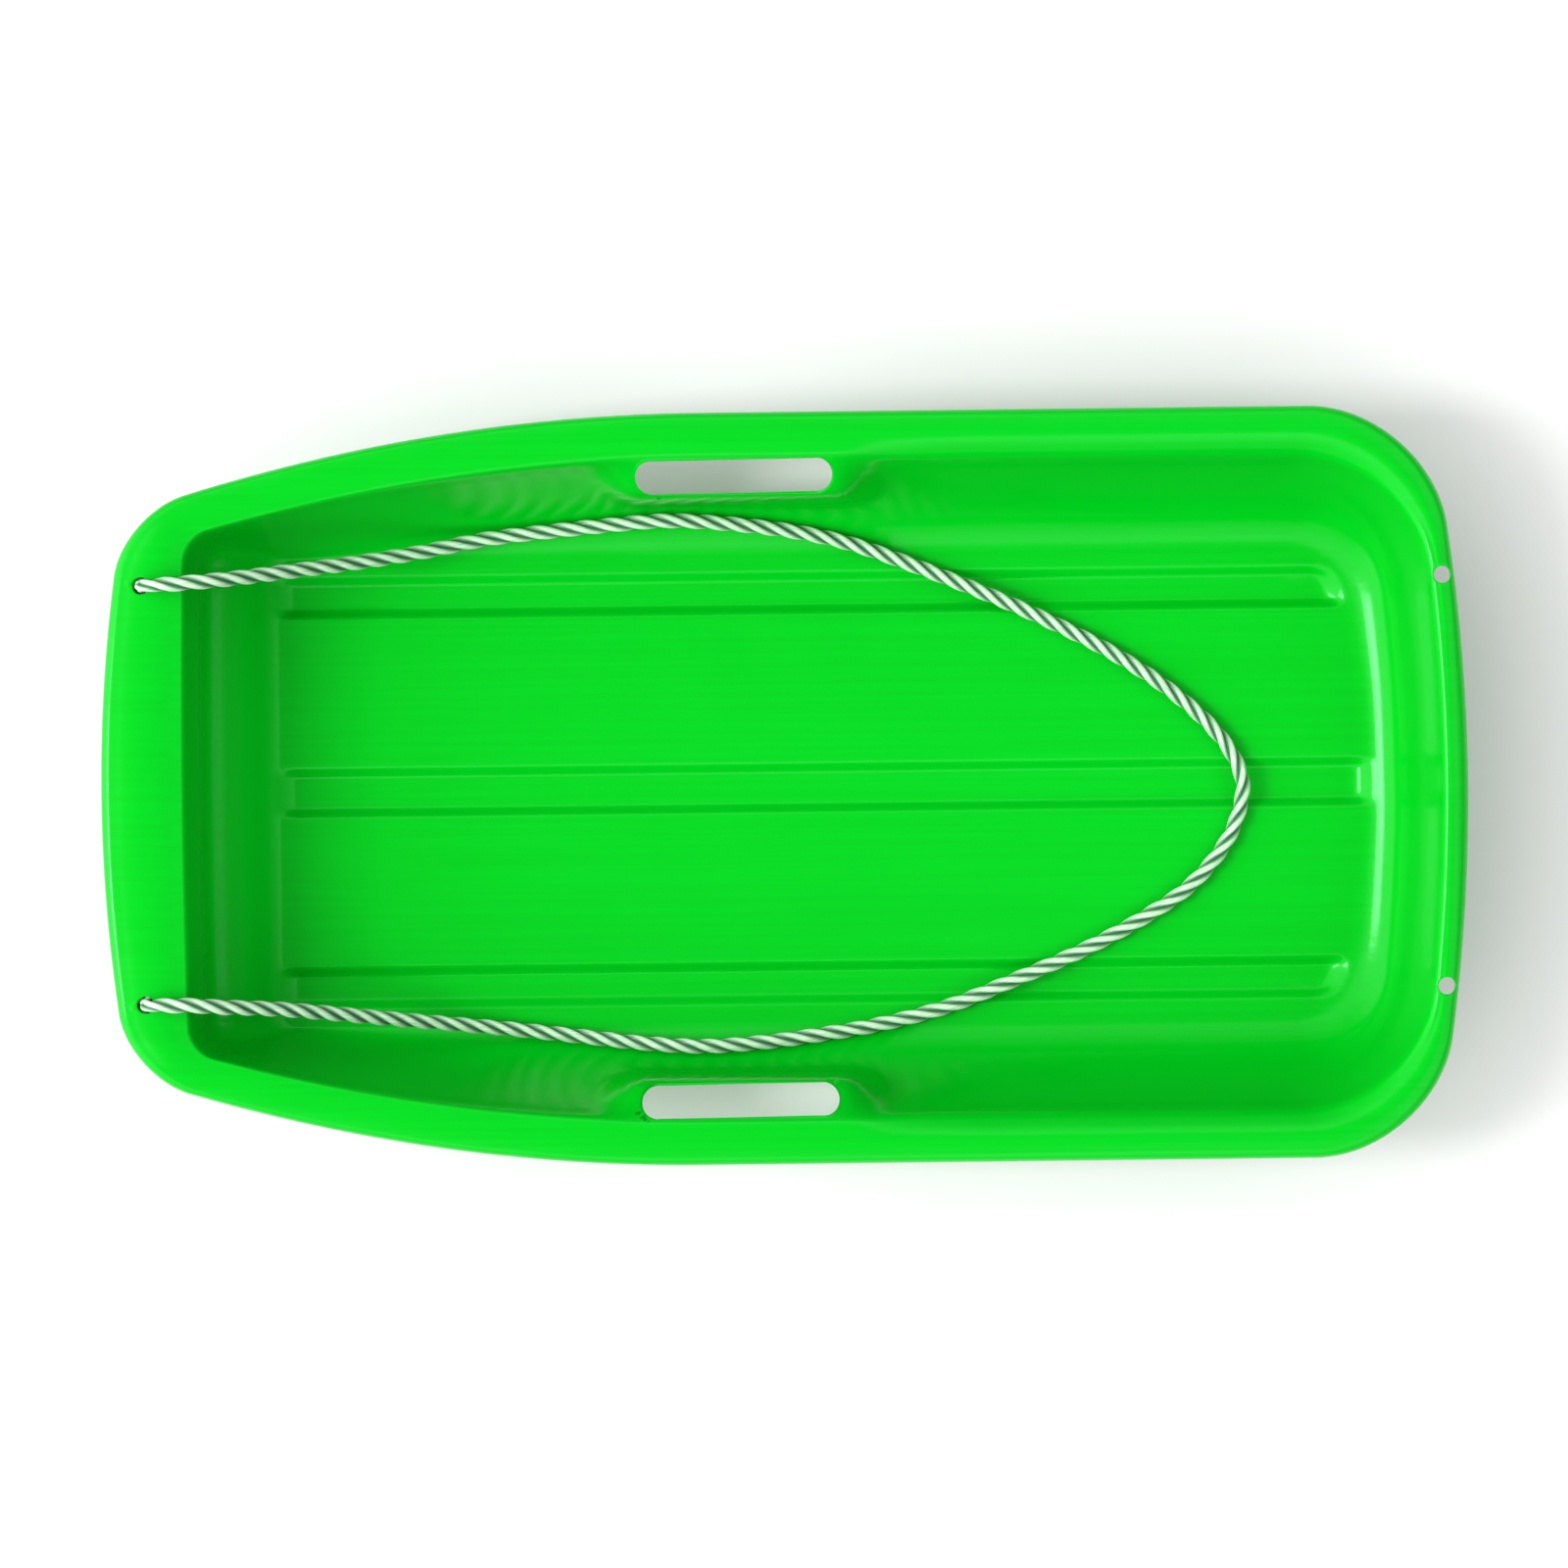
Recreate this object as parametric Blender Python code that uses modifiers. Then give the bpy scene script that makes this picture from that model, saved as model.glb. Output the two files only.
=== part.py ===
"""A child's moulded snow sled with a rope tow loop.

Metres, +Z up, +X towards the nose. The sled stands on its three runners at Z = 0, and
the origin is under the middle of the moulding.
"""

import math

import bmesh
import bpy
from mathutils import Vector

# The shell of the moulding
SHELL_THICKNESS = 0.0022

# Floor: its top lies above the runners that are pressed down into it
FLOOR_LENGTH = 0.681
FLOOR_WIDTH = 0.294
FLOOR_NOSE_CORNER = 0.010
FLOOR_TAIL_CORNER = 0.028
FLOOR_TAIL_BOW = 0.022
FLOOR_NOSE_LIFT = 0.004
FLOOR_LIFT_LENGTH = 0.160

# Runners: grooves in the floor that stand proud underneath
RUNNER_DEPTH = 0.006
RUNNER_FLANK = 0.0055
CENTRE_RUNNER_WIDTH = 0.031
OUTER_RUNNER_WIDTH = 0.0265
RUNNER_MARGIN = 0.01025
RUNNER_END_SLOPE = 0.014
RUNNER_NOSE_GAP = -0.006
RUNNER_TAIL_GAP = -0.010

# Walls, seen from above: the run from the rim's inner edge in to the floor
NOSE_WALL_DRAFT = 0.0095
SHELF_RUN = 0.018
STEP_RUN = 0.026
SIDE_WALL_RUN = 0.059
TAIL_WALL_RUN = 0.0436

# Walls, seen from the side
RIM_HEIGHT = 0.110
NOSE_RIM_LIFT = 0.008
RIM_LIFT_LENGTH = 0.330
RIM_EDGE_RADIUS = 0.004
RIM_EDGE_TURN = math.radians(80.0)
SHELF_HEIGHT = 0.032
SHELF_DROP = 0.007
SHELF_FILLET = 0.010
SIDE_WALL_SWEEP = math.radians(64.0)
TAIL_FOOT_RADIUS = 0.030

# The front wall bows a little between the rim and its foot: where its middle point lies,
# as shares of the wall's draft and of its height
NOSE_WALL_MIDDLE = (0.75, 0.55)

# The rounded step from the shelf down to the floor, as shares of its run and of its drop
STEP_SHAPE = ((0.30, 0.32), (0.55, 0.68), (0.78, 0.91), (1.0, 1.0))

# A cubic curve with handles of this share of the radius follows a quarter circle
ROUND_HANDLE = 0.55

# Inner edge of the rim, seen from above
INNER_NOSE_CORNER = 0.015
INNER_TAIL_CORNER = 0.074
INNER_NOSE_BOW = 0.002
INNER_TAIL_BOW = 0.017

# Rim: a flat band with a rolled-down lip on its outer edge
NOSE_RIM_WIDTH = 0.0475
SIDE_RIM_WIDTH = 0.0248
TAIL_RIM_WIDTH = 0.0124
NOSE_RIM_CROWN = 0.0020
SIDE_RIM_CROWN = 0.0008
LIP_ROLL = 0.0065
TAIL_LIP_ROLL = 0.010
LIP_DROP = 0.013
LIP_ROUND_SHARE = 0.8

# Outer edge of the rim, seen from above
OUTER_NOSE_CORNER = 0.037
OUTER_TAIL_CORNER = 0.073
OUTER_NOSE_BOW = 0.015
OUTER_TAIL_BOW = 0.024
NOSE_TAPER = 0.0645
TAPER_LENGTH = 0.365

# Hand slots, each through a sloping pad at the top of a side wall
SLOT_LENGTH = 0.120
SLOT_WIDTH = 0.0175
SLOT_FROM_RIM = 0.0050
SLOT_CENTRE_X = 0.030
PAD_MARGIN = 0.0035
PAD_SLOPE = math.radians(48.0)
PAD_WALL_DRAFT = math.radians(3.0)
PAD_FADE = 0.034

# Rope holes
ROPE_DIAMETER = 0.0095
HOLE_CLEARANCE = 0.0005
NOSE_HOLE_SPACING = 0.256
NOSE_HOLE_INSET = 0.0264
TAIL_HOLE_SPACING = 0.252
TAIL_HOLE_EDGE = 0.0085

# Fits
SEAT_GAP = 0.0003
CUT_OVERRUN = 0.003
WELD_DISTANCE = 0.00001

# Stopper knots under the nose rim, and the cut end below each
KNOT_DIAMETER = 0.023
KNOT_HEIGHT = 0.021
KNOT_TURN = math.radians(60.0)
KNOT_FULLNESS = 0.6
KNOT_SIDES = 16
KNOT_STEPS = 6
ROPE_END_LENGTH = 0.016

# Route of the tow loop's centre line between its two hinge ends: over the nose rim,
# down to the floor, along the side walls, and round ahead of the rear wall
ROPE_ROUTE = (
    (0.3760, -0.1284, 0.1237),
    (0.3612, -0.1296, 0.1212),
    (0.3465, -0.1310, 0.1152),
    (0.3250, -0.1340, 0.1005),
    (0.2950, -0.1388, 0.0785),
    (0.2620, -0.1440, 0.0560),
    (0.2250, -0.1508, 0.0375),
    (0.1880, -0.1585, 0.0267),
    (0.1480, -0.1630, 0.0254),
    (0.1100, -0.1664, 0.0274),
    (0.0720, -0.1687, 0.0300),
    (0.0330, -0.1664, 0.0268),
    (-0.0060, -0.1616, 0.0216),
    (-0.0400, -0.1543, 0.0166),
    (-0.0780, -0.1412, 0.0142),
    (-0.1240, -0.1228, 0.0138),
    (-0.1670, -0.1036, 0.0138),
    (-0.2080, -0.0823, 0.0138),
    (-0.2440, -0.0583, 0.0138),
    (-0.2714, -0.0332, 0.0138),
    (-0.2860, -0.0100, 0.0138),
    (-0.2880, 0.0100, 0.0138),
    (-0.2780, 0.0370, 0.0138),
    (-0.2560, 0.0635, 0.0138),
    (-0.2270, 0.0835, 0.0138),
    (-0.1880, 0.1040, 0.0138),
    (-0.1430, 0.1230, 0.0138),
    (-0.1020, 0.1388, 0.0140),
    (-0.0600, 0.1496, 0.0150),
    (-0.0200, 0.1560, 0.0173),
    (0.0150, 0.1602, 0.0201),
    (0.0524, 0.1623, 0.0221),
    (0.0900, 0.1601, 0.0206),
    (0.1300, 0.1555, 0.0178),
    (0.1690, 0.1508, 0.0192),
    (0.2063, 0.1466, 0.0285),
    (0.2430, 0.1422, 0.0448),
    (0.2800, 0.1371, 0.0680),
    (0.3150, 0.1325, 0.0935),
    (0.3465, 0.1300, 0.1152),
    (0.3612, 0.1286, 0.1212),
    (0.3760, 0.1282, 0.1237),
)
ROPE_POINTS = 68
ROUTE_FINE_STEPS = 12
ROPE_BEVEL = 3
ROPE_END_TURN = math.radians(78.0)
ROPE_END_STEPS = 3

# Number of steps in the shell's mesh
AHEAD_STEPS = 6
FADE_STEPS = 3
SLOT_STEPS = 3
BEHIND_STEPS = 6
NOSE_CORNER_STEPS = 4
TAIL_CORNER_STEPS = 6
PANEL_STEPS = 3
EDGE_STEPS = 2
SHELF_STEPS = 5
WALL_STEPS = EDGE_STEPS + SHELF_STEPS + len(STEP_SHAPE)
PAD_STEPS = 3
TAIL_WALL_STEPS = 3
ROLL_STEPS = 3
RIM_STEPS = ROLL_STEPS + 3
SLOT_END_STEPS = 8
HOLE_SIDES = 24

# Finishes
SHARP_ANGLE = math.radians(50.0)
GREEN = (0.0, 0.65, 0.03)
GREEN_ROUGHNESS = 0.3
WHITE = (0.75, 0.82, 0.75)
WHITE_ROUGHNESS = 0.55

# Worked out from the sizes above
FLOOR_Z = SHELL_THICKNESS + RUNNER_DEPTH
NOSE_WALL_RUN = NOSE_WALL_DRAFT + SHELF_RUN + STEP_RUN
SLED_LENGTH = FLOOR_LENGTH + NOSE_WALL_RUN + TAIL_WALL_RUN + NOSE_RIM_WIDTH + TAIL_RIM_WIDTH
NOSE_X = SLED_LENGTH / 2
TAIL_X = -SLED_LENGTH / 2
FLOOR_NOSE_X = NOSE_X - NOSE_RIM_WIDTH - NOSE_WALL_RUN
FLOOR_TAIL_X = FLOOR_NOSE_X - FLOOR_LENGTH
OUTER_RUNNER_Y = FLOOR_WIDTH / 2 - RUNNER_MARGIN - OUTER_RUNNER_WIDTH / 2
PAD_RUN = SLOT_FROM_RIM + SLOT_WIDTH + PAD_MARGIN
PAD_DROP = PAD_RUN * math.tan(PAD_SLOPE)
PAD_HALF_LENGTH = SLOT_LENGTH / 2 + PAD_MARGIN
HOLE_RADIUS = ROPE_DIAMETER / 2 + HOLE_CLEARANCE
NOSE_HOLE_X = NOSE_X - NOSE_HOLE_INSET


class PlanLoop:
    """A closed outline of the sled seen from above, the same on both sides.

    The point (u, v) of the unit square's edge is carried to the outline: u runs from the
    nose to the tail, and v from one side to the other.
    """

    def __init__(self, nose_x, tail_x, half_width, nose_corner, tail_corner,
                 nose_bow, tail_bow, taper):
        self.nose_x = nose_x
        self.tail_x = tail_x
        self.half_width = half_width
        self.nose_corner = nose_corner
        self.tail_corner = tail_corner
        self.nose_bow = nose_bow
        self.tail_bow = tail_bow
        self.taper = taper
        self.nose_y = self.side_y(nose_x - nose_bow)
        self.tail_y = half_width

    def side_y(self, x):
        """Half width at x, drawn in towards the nose along an arc."""
        ahead = max(0.0, x - (NOSE_X - TAPER_LENGTH))
        return self.half_width - self.taper * (ahead / TAPER_LENGTH) ** 2

    def nose_edge(self, y):
        """X of the front edge, which bows ahead of its corners."""
        return self.nose_x - self.nose_bow * (y / self.nose_y) ** 2

    def tail_edge(self, y):
        """X of the rear edge, which bows behind its corners."""
        return self.tail_x + self.tail_bow * (y / self.tail_y) ** 2

    def corner_x(self, u):
        """X at the fraction u of the way from the front corner to the rear one."""
        front = self.nose_x - self.nose_bow
        rear = self.tail_x + self.tail_bow
        return front + (rear - front) * u

    def length(self):
        """Length between the front corners and the rear ones."""
        return self.corner_x(0.0) - self.corner_x(1.0)

    def end_shape(self, at_nose):
        """Rounding, edge and half width of the nose or tail end."""
        if at_nose:
            return self.nose_corner, self.nose_edge, self.nose_y
        return self.tail_corner, self.tail_edge, self.tail_y

    def corner(self, t, at_nose):
        """Point on a rounded corner: t = 0 on the end's edge, t = 1 on the side."""
        size, edge, end_y = self.end_shape(at_nose)
        corner_x = self.corner_x(0.0 if at_nose else 1.0)
        inward = -size if at_nose else size
        spare = 1.0 - ROUND_HANDLE
        start = Vector((edge(end_y - size), end_y - size))
        first = Vector((edge(end_y - size * spare), end_y - size * spare))
        second_x = corner_x + inward * spare
        second = Vector((second_x, self.side_y(second_x)))
        finish = Vector((corner_x + inward, self.side_y(corner_x + inward)))
        rest = 1.0 - t
        return (start * rest ** 3 + first * 3 * rest ** 2 * t
                + second * 3 * rest * t ** 2 + finish * t ** 3)

    def corner_place(self, u, v, at_nose):
        """Place t of the point (u, v) in a rounded corner: below 0 on the end's edge, and
        above 1 on the side.
        """
        size, _, end_y = self.end_shape(at_nose)
        from_end = u if at_nose else 1.0 - u
        if from_end <= 0.0:
            straight = 1.0 - size / end_y
            return 0.5 * (abs(v) - straight) / (1.0 - straight)
        return 0.5 + 0.5 * from_end * self.length() / size

    def point(self, u, v):
        """Point of the outline for the point (u, v) of the unit square's edge."""
        at_nose = u < 0.5
        t = self.corner_place(u, v, at_nose)
        if t < 0.0:
            _, edge, end_y = self.end_shape(at_nose)
            found = Vector((edge(abs(v) * end_y), abs(v) * end_y))
        elif t < 1.0:
            found = self.corner(t, at_nose)
        else:
            x = self.corner_x(u)
            found = Vector((x, self.side_y(x)))
        return Vector((found.x, math.copysign(found.y, v)))

    def end_share(self, u, v, at_nose):
        """1 on the nose (or tail) edge, 0 along the side, and between them in the corner."""
        return 1.0 - smooth(self.corner_place(u, v, at_nose))


def smooth(value):
    """Smooth step from 0 to 1, held at both ends."""
    value = min(1.0, max(0.0, value))
    return value * value * (3.0 - 2.0 * value)


def spread(start, end, steps):
    """Evenly spaced values from start to end, both included."""
    return [start + (end - start) * step / steps for step in range(steps + 1)]


def material(name, colour, roughness):
    """Principled material with one colour; nothing here is metal."""
    made = bpy.data.materials.new(name)
    made.use_nodes = True
    shader = made.node_tree.nodes["Principled BSDF"]
    shader.inputs["Base Color"].default_value = (*colour, 1.0)
    shader.inputs["Roughness"].default_value = roughness
    shader.inputs["Metallic"].default_value = 0.0
    return made


def runner_depth(x, y, tail_edge_x):
    """Depth of the runner grooves below the floor's own surface."""
    depth = 0.0
    for centre, width in ((0.0, CENTRE_RUNNER_WIDTH), (OUTER_RUNNER_Y, OUTER_RUNNER_WIDTH)):
        inside = width / 2 - abs(abs(y) - centre)
        depth = max(depth, min(1.0, max(0.0, inside / RUNNER_FLANK)))
    from_nose = (FLOOR_NOSE_X - RUNNER_NOSE_GAP) - x
    from_tail = x - (tail_edge_x + RUNNER_TAIL_GAP)
    ends = smooth(from_nose / RUNNER_END_SLOPE) * smooth(from_tail / RUNNER_END_SLOPE)
    return RUNNER_DEPTH * depth * ends


def floor_height(x):
    """Height of the floor's surface, which lifts a little towards the nose."""
    ahead = max(0.0, x - (FLOOR_NOSE_X - FLOOR_LIFT_LENGTH)) / FLOOR_LIFT_LENGTH
    return FLOOR_Z + FLOOR_NOSE_LIFT * ahead ** 2


def rim_height(x):
    """Height of the rim's band, which lifts towards the nose."""
    ahead = max(0.0, x - (NOSE_X - RIM_LIFT_LENGTH)) / RIM_LIFT_LENGTH
    return RIM_HEIGHT + NOSE_RIM_LIFT * ahead ** 2


def edge_rounding(slope):
    """Points (run, drop) over the rim's inner edge, from level to the wall's slope."""
    return [(RIM_EDGE_RADIUS * math.sin(angle), RIM_EDGE_RADIUS * (1.0 - math.cos(angle)))
            for angle in spread(0.0, slope, EDGE_STEPS)]


def swept_wall(top, foot, sweep, steps):
    """Points of a wall that curves out of the floor along part of an ellipse."""
    run, drop = foot[0] - top[0], foot[1] - top[1]
    return [(foot[0] - run * math.sin(angle) / math.sin(sweep),
             foot[1] - drop * (1.0 - math.cos(angle)) / (1.0 - math.cos(sweep)))
            for angle in spread(sweep, 0.0, steps)]


def side_section():
    """Side wall as (run in from the rim, drop below it)."""
    edge = edge_rounding(RIM_EDGE_TURN)
    foot = (SIDE_WALL_RUN, RIM_HEIGHT - FLOOR_Z)
    return edge[:-1] + swept_wall(edge[-1], foot, SIDE_WALL_SWEEP, WALL_STEPS - EDGE_STEPS)


def pad_section():
    """Side wall at a hand slot: the sloping pad stands proud of the wall's upper half."""
    edge = edge_rounding(PAD_SLOPE)
    pad = [(edge[-1][0] + (PAD_RUN - edge[-1][0]) * share,
            edge[-1][1] + (PAD_DROP - edge[-1][1]) * share)
           for share in spread(0.0, 1.0, PAD_STEPS)]
    below = [(max(run, PAD_RUN + (drop - PAD_DROP) * math.tan(PAD_WALL_DRAFT)), drop)
             for run, drop in side_section()[EDGE_STEPS + PAD_STEPS + 1:]]
    return edge[:-1] + pad + below


def tail_section():
    """Rear wall: a round foot, then a straight wall that touches it."""
    edge = edge_rounding(RIM_EDGE_TURN)
    run = TAIL_WALL_RUN - edge[-1][0]
    rise = RIM_HEIGHT - FLOOR_Z - edge[-1][1]
    reach = math.hypot(run, rise - TAIL_FOOT_RADIUS)
    slope = math.atan2(rise - TAIL_FOOT_RADIUS, run) + math.asin(TAIL_FOOT_RADIUS / reach)
    foot_steps = WALL_STEPS - EDGE_STEPS - TAIL_WALL_STEPS
    foot = [(TAIL_WALL_RUN - TAIL_FOOT_RADIUS * math.sin(angle),
             RIM_HEIGHT - FLOOR_Z - TAIL_FOOT_RADIUS * (1.0 - math.cos(angle)))
            for angle in spread(slope, 0.0, foot_steps)]
    wall = [(edge[-1][0] + (foot[0][0] - edge[-1][0]) * share,
             edge[-1][1] + (foot[0][1] - edge[-1][1]) * share)
            for share in spread(0.0, 1.0, TAIL_WALL_STEPS)]
    return edge[:-1] + wall[:-1] + foot


def nose_section():
    """Front wall: a steep wall, a shelf at its foot, and a step down to the floor."""
    edge = edge_rounding(RIM_EDGE_TURN)
    drop = RIM_HEIGHT - FLOOR_Z
    shelf_top = drop - SHELF_HEIGHT
    shelf_end = shelf_top + SHELF_DROP
    wall_foot = shelf_top - SHELF_FILLET
    step_start = NOSE_WALL_DRAFT + SHELF_RUN
    half_turn = SHELF_FILLET * (1.0 - math.cos(math.pi / 4))
    wall = [(NOSE_WALL_DRAFT * NOSE_WALL_MIDDLE[0], wall_foot * NOSE_WALL_MIDDLE[1]),
            (NOSE_WALL_DRAFT, wall_foot)]
    shelf = [(NOSE_WALL_DRAFT + half_turn, shelf_top - half_turn),
             (NOSE_WALL_DRAFT + SHELF_FILLET, shelf_top),
             (step_start, shelf_end)]
    step = [(step_start + STEP_RUN * run, shelf_end + (drop - shelf_end) * fall)
            for run, fall in STEP_SHAPE]
    return edge + wall + shelf + step


def rim_section(width, roll_run, crown):
    """Rim from the lip's lower edge in to the inner edge, as (share of width, height)."""
    roll_height = min(roll_run, LIP_DROP * LIP_ROUND_SHARE)
    points = [(0.0, -LIP_DROP)]
    for angle in spread(0.0, math.pi / 2, ROLL_STEPS):
        points.append((roll_run * (1.0 - math.cos(angle)) / width,
                       roll_height * (math.sin(angle) - 1.0)))
    middle = (roll_run + width) / 2 / width
    points.append((middle, crown))
    return points


def mix(first, second, share):
    """Two lists of pairs blended point by point."""
    return [tuple(a + (b - a) * share for a, b in zip(one, other))
            for one, other in zip(first, second)]


def as_shares(section, run):
    """A wall section as shares of its run and of its drop."""
    return [(along / run, drop / (RIM_HEIGHT - FLOOR_Z)) for along, drop in section]


def sled_loops():
    """The three outlines that the shell is drawn between: floor, rim inside, rim outside."""
    inner_half = FLOOR_WIDTH / 2 + SIDE_WALL_RUN
    floor = PlanLoop(FLOOR_NOSE_X, FLOOR_TAIL_X, FLOOR_WIDTH / 2, FLOOR_NOSE_CORNER,
                     FLOOR_TAIL_CORNER, 0.0, FLOOR_TAIL_BOW, 0.0)
    inner = PlanLoop(NOSE_X - NOSE_RIM_WIDTH, TAIL_X + TAIL_RIM_WIDTH, inner_half,
                     INNER_NOSE_CORNER, INNER_TAIL_CORNER, INNER_NOSE_BOW, INNER_TAIL_BOW,
                     NOSE_TAPER)
    outer = PlanLoop(NOSE_X, TAIL_X, inner_half + SIDE_RIM_WIDTH, OUTER_NOSE_CORNER,
                     OUTER_TAIL_CORNER, OUTER_NOSE_BOW, OUTER_TAIL_BOW, NOSE_TAPER)
    return floor, inner, outer


def length_lines(inner, outer):
    """Fractions of the length where the shell's mesh has a line across.

    The lines are close in the rounded corners and where each hand slot's pad fades out.
    """
    nose_share = outer.nose_corner / outer.length()
    tail_share = 1.0 - outer.tail_corner / outer.length()
    pad_middle = (inner.corner_x(0.0) - SLOT_CENTRE_X) / inner.length()
    pad_half = PAD_HALF_LENGTH / inner.length()
    fade = PAD_FADE / inner.length()
    stops = [(0.0, NOSE_CORNER_STEPS), (nose_share, AHEAD_STEPS),
             (pad_middle - pad_half - fade, FADE_STEPS), (pad_middle - pad_half, SLOT_STEPS),
             (pad_middle + pad_half, FADE_STEPS), (pad_middle + pad_half + fade, BEHIND_STEPS),
             (tail_share, TAIL_CORNER_STEPS), (1.0, 0)]
    lines = []
    for (start, steps), (end, _) in zip(stops, stops[1:]):
        lines += spread(start, end, steps)[:-1]
    return lines + [1.0]


def width_lines():
    """Shares of the floor's half width where the mesh has a line along, on both sides."""
    half = FLOOR_WIDTH / 2
    centre_edge = CENTRE_RUNNER_WIDTH / 2
    inner_edge = OUTER_RUNNER_Y - OUTER_RUNNER_WIDTH / 2
    outer_edge = OUTER_RUNNER_Y + OUTER_RUNNER_WIDTH / 2
    lines = [centre_edge - RUNNER_FLANK]
    lines += spread(centre_edge, inner_edge, PANEL_STEPS)
    lines += [inner_edge + RUNNER_FLANK, outer_edge - RUNNER_FLANK, outer_edge, half]
    shares = [line / half for line in lines]
    return [-share for share in reversed(shares)] + shares


def floor_spot(floor, u, v, on_edge):
    """Place of a floor vertex: on the floor's outline, or on straight lines within it."""
    y = v * floor.half_width
    tail_edge = floor.tail_edge(y)
    spot = Vector((floor.nose_x + (tail_edge - floor.nose_x) * u, y))
    if on_edge:
        spot = floor.point(u, v)
    height = floor_height(spot.x) - runner_depth(spot.x, spot.y, tail_edge)
    return spot.to_3d() + Vector((0.0, 0.0, height))


class ShellSections:
    """The wall and rim sections round the sled, blended from side to nose and tail."""

    def __init__(self):
        self.floor, self.inner, self.outer = sled_loops()
        self.side = as_shares(side_section(), SIDE_WALL_RUN)
        self.pad = as_shares(pad_section(), SIDE_WALL_RUN)
        self.nose = as_shares(nose_section(), NOSE_WALL_RUN)
        self.tail = as_shares(tail_section(), TAIL_WALL_RUN)

    def wall_spot(self, u, v, level):
        """Place of a wall vertex, level steps out from the floor's edge."""
        low, high = self.floor.point(u, v), self.inner.point(u, v)
        from_pad = abs(high.x - SLOT_CENTRE_X) - PAD_HALF_LENGTH
        section = mix(self.side, self.pad, smooth(1.0 - from_pad / PAD_FADE))
        section = mix(section, self.nose, self.inner.end_share(u, v, True))
        section = mix(section, self.tail, self.inner.end_share(u, v, False))
        along, fall = section[WALL_STEPS - level]
        spot = high.lerp(low, along)
        top = rim_height(high.x)
        height = top - (top - floor_height(low.x)) * fall
        height -= runner_depth(spot.x, spot.y, self.floor.tail_edge(spot.y))
        return spot.to_3d() + Vector((0.0, 0.0, height))

    def rim_spot(self, u, v, level):
        """Place of a rim vertex, level steps out from the rim's inner edge."""
        high, edge = self.inner.point(u, v), self.outer.point(u, v)
        nose_share = self.inner.end_share(u, v, True)
        tail_share = self.inner.end_share(u, v, False)
        roll = LIP_ROLL + (TAIL_LIP_ROLL - LIP_ROLL) * tail_share
        crown = SIDE_RIM_CROWN + (NOSE_RIM_CROWN - SIDE_RIM_CROWN) * nose_share
        across, rise = rim_section((edge - high).length, roll, crown)[RIM_STEPS - level]
        spot = edge.lerp(high, across)
        return spot.to_3d() + Vector((0.0, 0.0, rim_height(spot.x) + rise))


def shell_surface():
    """Upper surface of the moulding: the floor's grid, drawn out ring by ring to the lip."""
    sections = ShellSections()
    u_lines = length_lines(sections.inner, sections.outer)
    v_lines = width_lines()
    made = bmesh.new()
    square = made.verts.layers.float_vector.new("square")
    bmesh.ops.create_grid(made, x_segments=len(u_lines) - 1, y_segments=len(v_lines) - 1,
                          size=1.0)
    for vert in made.verts:
        u = u_lines[round((1.0 - vert.co.x) / 2.0 * (len(u_lines) - 1))]
        v = v_lines[round((vert.co.y + 1.0) / 2.0 * (len(v_lines) - 1))]
        vert[square] = (u, v, 0.0)
        vert.co = floor_spot(sections.floor, u, v, vert.is_boundary)

    ring = [edge for edge in made.edges if edge.is_boundary]
    for level in range(1, WALL_STEPS + RIM_STEPS + 1):
        grown = bmesh.ops.extrude_edge_only(made, edges=ring)["geom"]
        for vert in (item for item in grown if isinstance(item, bmesh.types.BMVert)):
            u, v, _ = vert[square]
            if level <= WALL_STEPS:
                vert.co = sections.wall_spot(u, v, level)
            else:
                vert.co = sections.rim_spot(u, v, level - WALL_STEPS)
        ring = [item for item in grown
                if isinstance(item, bmesh.types.BMEdge) and item.is_boundary]
    bmesh.ops.recalc_face_normals(made, faces=made.faces)
    lowest = min(made.faces, key=lambda face: face.calc_center_median().z)
    if lowest.normal.z < 0:
        bmesh.ops.reverse_faces(made, faces=made.faces)
    return made


def add_object(name, mesh, collection, finish=None):
    """Object in a collection, with its material where it has one."""
    made = bpy.data.objects.new(name, mesh)
    collection.objects.link(made)
    if finish is not None:
        mesh.materials.append(finish)
    return made


def hide_cutter(cutter, cutters):
    """A cutter is kept out of the render, in its own collection."""
    for home in list(cutter.users_collection):
        home.objects.unlink(cutter)
    cutters.objects.link(cutter)
    cutter.hide_render = True
    cutter.display_type = "WIRE"


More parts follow.
